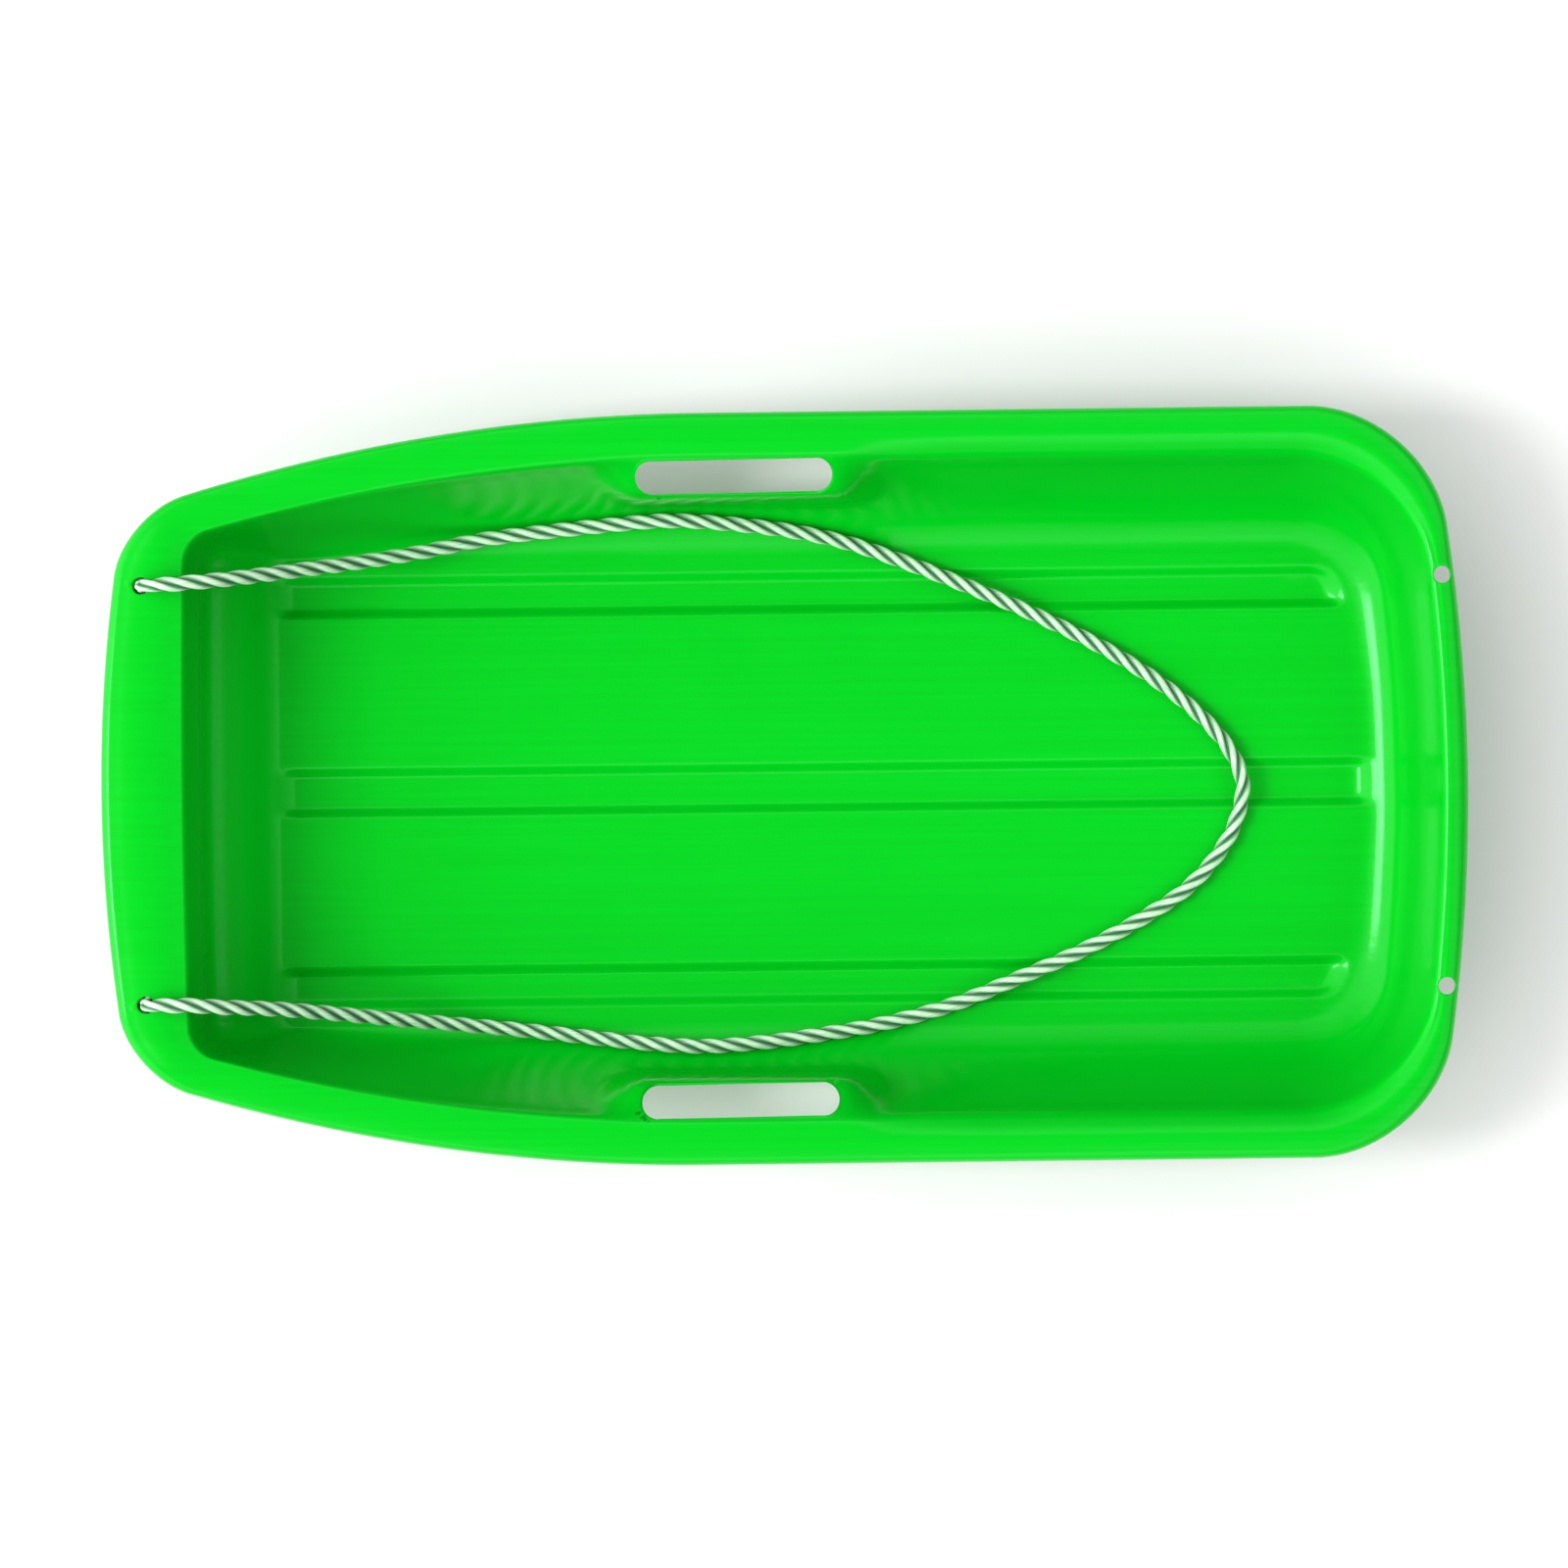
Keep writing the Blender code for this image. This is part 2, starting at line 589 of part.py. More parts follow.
def slot_cutter(name, centre, cutters):
    """Upright block with round ends, as long and as wide as a hand slot."""
    flat = bpy.data.curves.new(name, "CURVE")
    flat.dimensions = "2D"
    flat.fill_mode = "BOTH"
    flat.extrude = PAD_DROP / 2 + SHELL_THICKNESS + CUT_OVERRUN
    half = SLOT_LENGTH / 2 - SLOT_WIDTH / 2
    outline = []
    for side in (1.0, -1.0):
        for angle in spread(-math.pi / 2, math.pi / 2, SLOT_END_STEPS):
            outline.append((side * (half + SLOT_WIDTH / 2 * math.cos(angle)),
                            side * SLOT_WIDTH / 2 * math.sin(angle)))
    line = flat.splines.new("POLY")
    line.points.add(len(outline) - 1)
    for point, (x, y) in zip(line.points, outline):
        point.co = (x, y, 0.0, 1.0)
    line.use_cyclic_u = True
    guide = bpy.data.objects.new(name + "_outline", flat)
    cutters.objects.link(guide)
    bpy.context.view_layer.update()
    mesh = bpy.data.meshes.new_from_object(guide.evaluated_get(
        bpy.context.evaluated_depsgraph_get()))
    bpy.data.objects.remove(guide)
    welded = bmesh.new()
    welded.from_mesh(mesh)
    bmesh.ops.remove_doubles(welded, verts=welded.verts, dist=WELD_DISTANCE)
    bmesh.ops.recalc_face_normals(welded, faces=welded.faces)
    welded.to_mesh(mesh)
    welded.free()
    cutter = add_object(name, mesh, cutters)
    cutter.location = centre
    hide_cutter(cutter, cutters)
    return cutter


def hole_cutter(name, centre, cutters):
    """Upright drill of a rope hole's size."""
    bpy.ops.mesh.primitive_cylinder_add(vertices=HOLE_SIDES, radius=HOLE_RADIUS,
                                        depth=2 * LIP_DROP, location=centre)
    cutter = bpy.context.active_object
    cutter.name = name
    hide_cutter(cutter, cutters)
    return cutter


def make_sled_body(parts, cutters, finish):
    """The one-piece moulding: its upper surface given a wall, then pierced."""
    surface = shell_surface()
    mesh = bpy.data.meshes.new("sled_body")
    surface.to_mesh(mesh)
    surface.free()
    body = add_object("sled_body", mesh, parts, finish)
    mesh.shade_smooth()
    mesh.set_sharp_from_angle(angle=SHARP_ANGLE)
    wall = body.modifiers.new("wall", "SOLIDIFY")
    wall.thickness = SHELL_THICKNESS
    wall.offset = -1.0
    wall.use_even_offset = True

    _, inner, outer = sled_loops()
    slot_y = inner.side_y(SLOT_CENTRE_X) - SLOT_FROM_RIM - SLOT_WIDTH / 2
    nose_y = NOSE_HOLE_SPACING / 2
    tail_y = TAIL_HOLE_SPACING / 2
    tail_x = outer.tail_edge(tail_y) + TAIL_HOLE_EDGE
    made = []
    for name, side in (("left", 1.0), ("right", -1.0)):
        slot = (SLOT_CENTRE_X, side * slot_y, RIM_HEIGHT - PAD_DROP / 2)
        made.append(slot_cutter("slot_cutter_" + name, slot, cutters))
        nose_hole = (NOSE_HOLE_X, side * nose_y, rim_height(NOSE_HOLE_X))
        made.append(hole_cutter("nose_hole_cutter_" + name, nose_hole, cutters))
        tail_hole = (tail_x, side * tail_y, RIM_HEIGHT)
        made.append(hole_cutter("tail_hole_cutter_" + name, tail_hole, cutters))
    for cutter in made:
        cut = body.modifiers.new(cutter.name, "BOOLEAN")
        cut.operation = "DIFFERENCE"
        cut.solver = "EXACT"
        cut.object = cutter
    return body


def nose_rim_top(x, y):
    """Height of the nose rim's crowned band at a point on it."""
    _, inner, outer = sled_loops()
    width = outer.nose_edge(y) - inner.nose_edge(y)
    from_edge = outer.nose_edge(y) - x
    middle = (LIP_ROLL + width) / 2
    if from_edge < middle:
        share = (from_edge - LIP_ROLL) / (middle - LIP_ROLL)
    else:
        share = (width - from_edge) / (width - middle)
    return rim_height(x) + NOSE_RIM_CROWN * min(1.0, max(0.0, share))


def hinge_point(side):
    """Where the tow loop turns: its round end rests over a nose hole."""
    y = side * NOSE_HOLE_SPACING / 2
    top = nose_rim_top(NOSE_HOLE_X, y)
    return Vector((NOSE_HOLE_X, y, top + 2 * SEAT_GAP + ROPE_DIAMETER / 2))


def smooth_route(points, count):
    """Points at even steps along a smooth curve through the given points."""
    dense = []
    last = len(points) - 1
    for index in range(last):
        before = points[max(0, index - 1)]
        start, end = points[index], points[index + 1]
        after = points[min(last, index + 2)]
        for t in spread(0.0, 1.0, ROUTE_FINE_STEPS)[:-1]:
            dense.append(0.5 * (2 * start + (end - before) * t
                                + (2 * before - 5 * start + 4 * end - after) * t ** 2
                                + (3 * start - before - 3 * end + after) * t ** 3))
    dense.append(points[last])
    lengths = [0.0]
    for one, other in zip(dense, dense[1:]):
        lengths.append(lengths[-1] + (other - one).length)
    even = []
    place = 0
    for step in range(count):
        target = lengths[-1] * step / (count - 1)
        while place < len(dense) - 2 and lengths[place + 1] < target:
            place += 1
        share = (target - lengths[place]) / (lengths[place + 1] - lengths[place])
        even.append(dense[place].lerp(dense[place + 1], share))
    return even


def make_tow_rope(parts, finish):
    """The tow loop: a tube along its route, with a round end over each nose hole."""
    ends = [hinge_point(-1.0), hinge_point(1.0)]
    route = [ends[0]] + [Vector(point) for point in ROPE_ROUTE] + [ends[1]]
    centre_line = smooth_route(route, ROPE_POINTS)
    radius = ROPE_DIAMETER / 2
    caps = []
    for end, nearby in ((centre_line[0], centre_line[1]), (centre_line[-1], centre_line[-2])):
        outward = (end - nearby).normalized()
        caps.append([(end + outward * radius * math.sin(angle), math.cos(angle))
                     for angle in spread(ROPE_END_TURN, 0.0, ROPE_END_STEPS)[:-1]])
    points = caps[0] + [(point, 1.0) for point in centre_line] + caps[1][::-1]
    curve = bpy.data.curves.new("tow_rope", "CURVE")
    curve.dimensions = "3D"
    curve.bevel_depth = radius
    curve.bevel_resolution = ROPE_BEVEL
    curve.use_fill_caps = True
    spline = curve.splines.new("POLY")
    spline.points.add(len(points) - 1)
    for target, (point, share) in zip(spline.points, points):
        target.co = (*(point - ends[0]), 1.0)
        target.radius = share
    rope = add_object("tow_rope", curve, parts, finish)
    rope.location = ends[0]
    length = sum((b - a).length for a, b in zip(centre_line, centre_line[1:]))
    print(f"tow loop {length:.3f} m long, hinge at {ends[0]}")
    return rope


def make_rope_end(name, side, parts, finish):
    """The rope's end through a nose hole: a short neck, a stopper knot and the cut end."""
    top = hinge_point(side) - Vector((0.0, 0.0, ROPE_DIAMETER / 2 + SEAT_GAP))
    radius = ROPE_DIAMETER / 2
    neck = SHELL_THICKNESS + 3 * SEAT_GAP
    knot_middle = -neck - KNOT_HEIGHT / 2
    bottom = -neck - KNOT_HEIGHT - ROPE_END_LENGTH
    profile = [(0.0, 0.0), (radius, 0.0), (radius, -neck)]
    for angle in spread(KNOT_TURN, -KNOT_TURN, KNOT_STEPS):
        rise = KNOT_HEIGHT / 2 * math.sin(angle) / math.sin(KNOT_TURN)
        profile.append((KNOT_DIAMETER / 2 * math.cos(angle) ** KNOT_FULLNESS,
                        knot_middle + rise))
    profile += [(radius, -neck - KNOT_HEIGHT), (radius, bottom), (0.0, bottom)]
    outline = bmesh.new()
    verts = [outline.verts.new((x, 0.0, z)) for x, z in profile]
    for one, other in zip(verts, verts[1:]):
        outline.edges.new((one, other))
    mesh = bpy.data.meshes.new(name)
    outline.to_mesh(mesh)
    outline.free()
    end = add_object(name, mesh, parts, finish)
    turn = end.modifiers.new("turn", "SCREW")
    turn.angle = math.radians(360.0)
    turn.steps = KNOT_SIDES
    turn.render_steps = KNOT_SIDES
    turn.use_merge_vertices = True
    turn.merge_threshold = WELD_DISTANCE
    end.location = top
    return end


def main():
    """Build the sled."""
    for old in list(bpy.data.objects):
        bpy.data.objects.remove(old)
    parts = bpy.data.collections.new("snow_sled")
    cutters = bpy.data.collections.new("cutters")
    for collection in (parts, cutters):
        bpy.context.scene.collection.children.link(collection)
    green = material("green_plastic", GREEN, GREEN_ROUGHNESS)
    white = material("white_rope", WHITE, WHITE_ROUGHNESS)
    make_sled_body(parts, cutters, green)
    make_tow_rope(parts, white)
    make_rope_end("rope_end_right", -1.0, parts, white)
    make_rope_end("rope_end_left", 1.0, parts, white)
    print(f"sled {SLED_LENGTH:.4f} m long")


main()
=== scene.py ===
"""A child's moulded snow sled with a rope tow loop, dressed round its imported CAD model.

Metres, +Z up, +X towards the nose, +Y to the rider's left. The sled stands on its three
runners at Z = 0, and the origin is under the middle of the moulding.
"""

import logging
import math
from dataclasses import dataclass
from enum import Enum

import bmesh
import bpy
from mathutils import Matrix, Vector, geometry, noise
from mathutils.bvhtree import BVHTree

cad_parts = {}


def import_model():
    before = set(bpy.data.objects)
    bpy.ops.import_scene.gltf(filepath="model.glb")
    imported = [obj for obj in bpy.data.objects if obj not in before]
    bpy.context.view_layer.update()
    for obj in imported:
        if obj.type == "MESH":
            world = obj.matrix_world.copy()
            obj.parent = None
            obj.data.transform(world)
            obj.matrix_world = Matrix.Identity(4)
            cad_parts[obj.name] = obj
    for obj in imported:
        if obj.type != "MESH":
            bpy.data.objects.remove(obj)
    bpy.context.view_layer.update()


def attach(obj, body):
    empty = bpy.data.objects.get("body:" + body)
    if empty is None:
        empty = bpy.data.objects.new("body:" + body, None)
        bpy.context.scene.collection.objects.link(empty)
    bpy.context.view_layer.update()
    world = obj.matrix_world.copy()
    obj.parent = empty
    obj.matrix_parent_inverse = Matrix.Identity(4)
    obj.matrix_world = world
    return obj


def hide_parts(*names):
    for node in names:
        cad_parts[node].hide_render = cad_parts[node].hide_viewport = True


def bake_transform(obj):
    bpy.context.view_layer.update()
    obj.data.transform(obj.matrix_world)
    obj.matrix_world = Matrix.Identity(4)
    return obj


LOG = logging.getLogger("snow_sled")
Pair = tuple[float, float]
Pairs = list[Pair]
Triple = tuple[float, float, float]


class Body(Enum):
    """The two bodies of the CAD model."""

    SLED = "sled"
    LOOP = "tow_loop"


class Slot(Enum):
    """The record's material slots."""

    MOULDING = "sled_body"
    ROPE = "rope"


class End(Enum):
    """The two ends of the sled, by their place along it."""

    NOSE = 0.0
    TAIL = 1.0


# ---- small tools ----


def linear(colour: str) -> tuple[float, ...]:
    """Linear colour, with a full alpha, of six sRGB hex digits."""
    shares = [int(colour[start:start + 2], 16) / 255.0 for start in (0, 2, 4)]
    return tuple(share / 12.92 if share <= 0.04045 else ((share + 0.055) / 1.055) ** 2.4
                 for share in shares) + (1.0,)


def smooth(value: float) -> float:
    """Smooth step from 0 to 1, held at both ends."""
    value = min(1.0, max(0.0, value))
    return value * value * (3.0 - 2.0 * value)


def spread(start: float, end: float, steps: int) -> list[float]:
    """Evenly spaced values from start to end, both included."""
    return [start + (end - start) * step / steps for step in range(steps + 1)]


def add_node(tree: bpy.types.NodeTree, kind: str, settings: dict | None = None,
             links: dict | None = None, output: int | str = 0) -> bpy.types.NodeSocket | None:
    """Adds a node with its settings and links.

    Args:
        tree: node tree that gets the node.
        kind: Blender's name for the kind of node.
        settings: values by the name of a property, or by the name or number of a socket.
        links: output sockets by the name or number of the input that each one feeds.
        output: name or number of the output to give back.

    Returns:
        The output, or none for a node that has none.
    """
    node = tree.nodes.new(kind)
    for name, value in (settings or {}).items():
        if isinstance(name, str) and hasattr(node, name):
            setattr(node, name, value)
        else:
            node.inputs[name].default_value = value
    for name, socket in (links or {}).items():
        tree.links.new(socket, node.inputs[name])
    return node.outputs[output] if node.outputs else None


def add_object(name: str, data: bpy.types.ID) -> bpy.types.Object:
    """Adds an object to the scene.

    Args:
        name: its name.
        data: its mesh, lamp or camera.

    Returns:
        The new object.
    """
    made = bpy.data.objects.new(name, data)
    bpy.context.scene.collection.objects.link(made)
    return made


def add_piece(name: str, mesh: bmesh.types.BMesh, finish: bpy.types.Material) -> bpy.types.Object:
    """Adds an object made of a finished mesh, smooth shaded.

    Args:
        name: the piece's name.
        mesh: the mesh, which is freed.
        finish: its material.

    Returns:
        The new object.
    """
    data = bpy.data.meshes.new(name)
    mesh.to_mesh(data)
    mesh.free()
    data.materials.append(finish)
    data.shade_smooth()
    return add_object(name, data)


def smooth_line(points: list[Vector], step: float, fine: int = 12) -> list[Vector]:
    """Points at even steps along a smooth curve through the given points.

    Args:
        points: the points that the curve goes through.
        step: longest step between the points that are given back.
        fine: steps of the curve from one given point to the next.

    Returns:
        Points from the first to the last of the given ones.
    """
    dense = []
    for before, start, end, after in zip(points[:1] + points, points, points[1:],
                                         points[2:] + points[-1:]):
        dense += [0.5 * (2 * start + (end - before) * t
                         + (2 * before - 5 * start + 4 * end - after) * t ** 2
                         + (3 * start - before - 3 * end + after) * t ** 3)
                  for t in spread(0.0, 1.0, fine)[:-1]]
    return even_line(dense + points[-1:], step)


def even_line(dense: list[Vector], step: float) -> list[Vector]:
    """A line of points laid out again at even steps.

    Args:
        dense: the line's points.
        step: longest step between the new points.

    Returns:
        The new points, with the same first and last one.
    """
    lengths = [0.0]
    for one, other in zip(dense, dense[1:]):
        lengths.append(lengths[-1] + (other - one).length)
    even, place = [], 0
    for target in spread(0.0, lengths[-1], math.ceil(lengths[-1] / step)):
        while place < len(dense) - 2 and lengths[place + 1] < target:
            place += 1
        share = (target - lengths[place]) / (lengths[place + 1] - lengths[place])
        even.append(dense[place].lerp(dense[place + 1], share))
    return even


def line_length(points: list[Vector]) -> float:
    """Length of a line of points."""
    return sum((other - one).length for one, other in zip(points, points[1:]))


# ---- finishes ----


class Finish:
    """A material with one shader, whose inputs each kind of finish gives."""

    name: str

    def inputs(self, tree: bpy.types.NodeTree) -> tuple[dict, dict]:
        """The shader's set inputs and its linked ones."""
        raise NotImplementedError

    def build(self) -> bpy.types.Material:
        """Makes the material.

        Returns:
            The material, with its patterns in real sizes.
        """
        made = bpy.data.materials.new(self.name)
        made.use_nodes = True
        tree = made.node_tree
        tree.nodes.clear()
        shader = add_node(tree, "ShaderNodeBsdfPrincipled", *self.inputs(tree))
        add_node(tree, "ShaderNodeOutputMaterial", None, {"Surface": shader})
        return made


@dataclass(frozen=True)
class MouldedPolyethylene(Finish):
    """High-density polyethylene, moulded in one sheet: waxy, semi-gloss and bright green.

    The resin's colour runs right through, so scuffs are paler and duller but still green.
    Its flow leaves faint lines along the sled, and the tool's fine blasted texture leaves
    a soft, broken gloss. The texture is drawn coarser than its real grit, so that it shows.
    """

    name: str = "moulded_green_polyethylene"
    colour: str = "00AA18"
    deep_colour: str = "00A615"
    scuff_colour: str = "4BE06A"
    roughness: float = 0.17
    roughness_spread: float = 0.04
    scuff_dulling: float = 0.25
    ior: float = 1.54
    specular: float = 0.22
    gloss_tint: str = "B3FFD2"
    streak_width: float = 0.0032
    streak_length: float = 0.26
    grain_size: float = 0.0011
    ripple_size: float = 0.045
    line_range: Pair = (0.35, 0.65)
    scratch_range: Pair = (0.5, 0.62)
    ripple_range: Pair = (0.3, 0.7)
    grain_bump: Pair = (0.07, 0.0001)
    line_bump: Pair = (0.10, 0.0002)

    def inputs(self, tree: bpy.types.NodeTree) -> tuple[dict, dict]:
        """The plastic's colours, gloss and texture.

        Args:
            tree: the material's nodes.

        Returns:
            The shader's set inputs and its linked ones.
        """
        place = add_node(tree, "ShaderNodeTexCoord", output="Object")
        wear, flow = (add_node(tree, "ShaderNodeAttribute", {"attribute_name": name},
                               output="Fac") for name in ("wear", "flow"))
        along = add_node(tree, "ShaderNodeMapping", {
            "Scale": (1.0 / self.streak_length, 1.0 / self.streak_width,
                      1.0 / self.streak_width)}, {"Vector": place})
        streaks = add_node(tree, "ShaderNodeTexNoise", {"Scale": 1.0, "Detail": 3.0},
                           {"Vector": along})
        ripples, grain = (add_node(tree, "ShaderNodeTexNoise",
                                   {"Scale": 1.0 / size, "Detail": 2.0}, {"Vector": place})
                          for size in (self.ripple_size, self.grain_size))
        tone, scratched = (add_node(tree, "ShaderNodeMapRange",
                                    {"From Min": low, "From Max": high}, {"Value": streaks})
                           for low, high in (self.line_range, self.scratch_range))
        lines, scuffed = (add_node(tree, "ShaderNodeMath", {"operation": "MULTIPLY"}, pair)
                          for pair in ({0: tone, 1: flow}, {0: wear, 1: scratched}))
        body = add_node(tree, "ShaderNodeMix", {
            "data_type": "RGBA", 6: linear(self.colour), 7: linear(self.deep_colour)},
            {0: lines}, 2)
        colour = add_node(tree, "ShaderNodeMix", {
            "data_type": "RGBA", 7: linear(self.scuff_colour)}, {0: scuffed, 6: body}, 2)
        gloss = add_node(tree, "ShaderNodeMapRange", {
            "From Min": self.ripple_range[0], "From Max": self.ripple_range[1],
            "To Min": self.roughness - self.roughness_spread / 2,
            "To Max": self.roughness + self.roughness_spread / 2}, {"Value": ripples})
        dull = add_node(tree, "ShaderNodeMath", {
            "operation": "MULTIPLY_ADD", 1: self.scuff_dulling}, {0: scuffed, 2: gloss})
        fine = add_node(tree, "ShaderNodeBump", {
            "Strength": self.grain_bump[0], "Distance": self.grain_bump[1]}, {"Height": grain})
        ridged = add_node(tree, "ShaderNodeBump", {
            "Strength": self.line_bump[0], "Distance": self.line_bump[1]},
            {"Height": lines, "Normal": fine})
        return ({"IOR": self.ior, "Specular IOR Level": self.specular,
                 "Specular Tint": linear(self.gloss_tint)},
                {"Base Color": colour, "Roughness": dull, "Normal": ridged})


@dataclass(frozen=True)
class TwistedPolypropylene(Finish):
    """Undyed polypropylene rope, spun from split film and laid in three strands.

    Each strand shows fine, slightly shiny yarns that run almost along the rope. The grooves
    between the strands are painted dark green: painted shade, with the hull's green painted in
    as reflected light. Its UV map is in metres along the rope and across a strand. The yarns are
    drawn about twice as wide as real ones, so that they show.
    """

    name: str = "twisted_white_polypropylene"
    # The rope's main colour and its yarn shade are tinted green: painted green light bounced from
    # the hull onto an undyed white rope.
    colour: str = "C2DCC0"
    shade_colour: str = "96BE9C"
    groove_shade_colour: str = "14602F"
    roughness: float = 0.48
    ior: float = 1.49
    yarn_width: float = 0.00055
    yarn_length: float = 0.012
    yarn_range: Pair = (0.35, 0.6)
    yarn_bump: Pair = (0.7, 0.0003)

    def inputs(self, tree: bpy.types.NodeTree) -> tuple[dict, dict]:
        """The rope's colours, its painted groove shade and its yarns.

        Args:
            tree: the material's nodes.

        Returns:
            The shader's set inputs and its linked ones.
        """
        along = add_node(tree, "ShaderNodeMapping", {
            "Scale": (1.0 / self.yarn_length, 1.0 / self.yarn_width, 1.0)},
            {"Vector": add_node(tree, "ShaderNodeUVMap", {"uv_map": "yarn"})})
        yarns = add_node(tree, "ShaderNodeTexNoise", {"Scale": 1.0, "Detail": 2.0},
                         {"Vector": along})
        tone = add_node(tree, "ShaderNodeMapRange", {
            "From Min": self.yarn_range[0], "From Max": self.yarn_range[1]}, {"Value": yarns})
        body = add_node(tree, "ShaderNodeMix", {
            "data_type": "RGBA", 6: linear(self.shade_colour), 7: linear(self.colour)},
            {0: tone}, 2)
        # Painted shade: the grooves between the strands are mixed towards a dark green that
        # stands in for their shade and for the hull's green reflected into them.
        depth = add_node(tree, "ShaderNodeAttribute", {"attribute_name": "groove"},
                         output="Fac")
        colour = add_node(tree, "ShaderNodeMix", {
            "data_type": "RGBA", 7: linear(self.groove_shade_colour)}, {0: depth, 6: body}, 2)
        ridged = add_node(tree, "ShaderNodeBump", {
            "Strength": self.yarn_bump[0], "Distance": self.yarn_bump[1]}, {"Height": yarns})
        return ({"IOR": self.ior, "Roughness": self.roughness},
                {"Base Color": colour, "Normal": ridged})


@dataclass(frozen=True)
class PaintedBoard(Finish):
    """Matt white board under the sled: its paint is flat and plain."""

    name: str = "matt_white_board"
    colour: str = "D2D2D2"
    roughness: float = 0.9

    def inputs(self, tree: bpy.types.NodeTree) -> tuple[dict, dict]:
        """The floor's plain colour and roughness."""
        return {"Base Color": linear(self.colour), "Roughness": self.roughness}, {}


# ---- the moulding ----


@dataclass(frozen=True)
class PlanLoop:
    """A closed outline of the sled seen from above, the same on both sides.

    A place (u, v) on the unit square's edge is carried to the outline: u runs from 0 at the
    nose to 1 at the tail, and v from -1 to 1 across.
    """

    nose_x: float
    tail_x: float
    half_width: float
    nose_corner: float
    tail_corner: float
    nose_bow: float
    tail_bow: float
    taper: float
    taper_end: float
    taper_length: float = 0.365
    handle: float = 0.55

    def side_y(self, x: float) -> float:
        """Half width at x, drawn in towards the nose along an arc."""
        ahead = max(0.0, x - (self.taper_end - self.taper_length))
        return self.half_width - self.taper * (ahead / self.taper_length) ** 2

    def end_y(self, end: End) -> float:
        """Half width at an end, before its corners are rounded."""
        return self.side_y(self.nose_x - self.nose_bow) if end is End.NOSE else self.half_width

    def edge_x(self, y: float, end: End) -> float:
        """X of the front or rear edge, which bows out between its corners."""
        x, bow = ((self.nose_x, -self.nose_bow) if end is End.NOSE
                  else (self.tail_x, self.tail_bow))
        return x + bow * (y / self.end_y(end)) ** 2

    def corner_x(self, u: float) -> float:
        """X at the fraction u of the way from the front corner to the rear one."""
        front, rear = self.nose_x - self.nose_bow, self.tail_x + self.tail_bow
        return front + (rear - front) * u

    def length(self) -> float:
        """Length between the front corners and the rear ones."""
        return self.corner_x(0.0) - self.corner_x(1.0)

    def corner_size(self, end: End) -> float:
        """Size of a rounded corner."""
        return self.nose_corner if end is End.NOSE else self.tail_corner

    def corner(self, t: float, end: End) -> Vector:
        """Point on a rounded corner.

        Args:
            t: 0 on the end's edge and 1 on the side.
            end: the end that the corner is at.

        Returns:
            The point, on the left side.
        """
        size, end_y, corner_x = self.corner_size(end), self.end_y(end), self.corner_x(end.value)
        inward = -size if end is End.NOSE else size
        spare, rest = 1.0 - self.handle, 1.0 - t
        start, first = (Vector((self.edge_x(y, end), y)) for y in (end_y - size,
                                                                   end_y - size * spare))
        second, finish = (Vector((x, self.side_y(x))) for x in (corner_x + inward * spare,
                                                                corner_x + inward))
        return (start * rest ** 3 + first * 3 * rest ** 2 * t
                + second * 3 * rest * t ** 2 + finish * t ** 3)

    def corner_place(self, at: Pair, end: End) -> float:
        """Place of (u, v) in a corner.

        Args:
            at: the place (u, v).
            end: the end that the corner is at.

        Returns:
            Below 0 on the end's edge, 0 to 1 in the corner and above 1 on the side.
        """
        size, from_end = self.corner_size(end), abs(at[0] - end.value)
        if from_end <= 0.0:
            straight = 1.0 - size / self.end_y(end)
            return 0.5 * (abs(at[1]) - straight) / (1.0 - straight)
        return 0.5 + 0.5 * from_end * self.length() / size

    def point(self, at: Pair) -> Vector:
        """Point of the outline.

        Args:
            at: the place (u, v).

        Returns:
            The point, seen from above.
        """
        end = End.NOSE if at[0] < 0.5 else End.TAIL
        t, x, y = self.corner_place(at, end), self.corner_x(at[0]), abs(at[1]) * self.end_y(end)
        if t < 0.0:
            found = Vector((self.edge_x(y, end), y))
        else:
            found = self.corner(t, end) if t < 1.0 else Vector((x, self.side_y(x)))
        return Vector((found.x, math.copysign(found.y, at[1])))

    def end_share(self, at: Pair, end: End) -> float:
        """1 on the nose (or tail) edge, 0 along the side, and between them in the corner."""
        return 1.0 - smooth(self.corner_place(at, end))


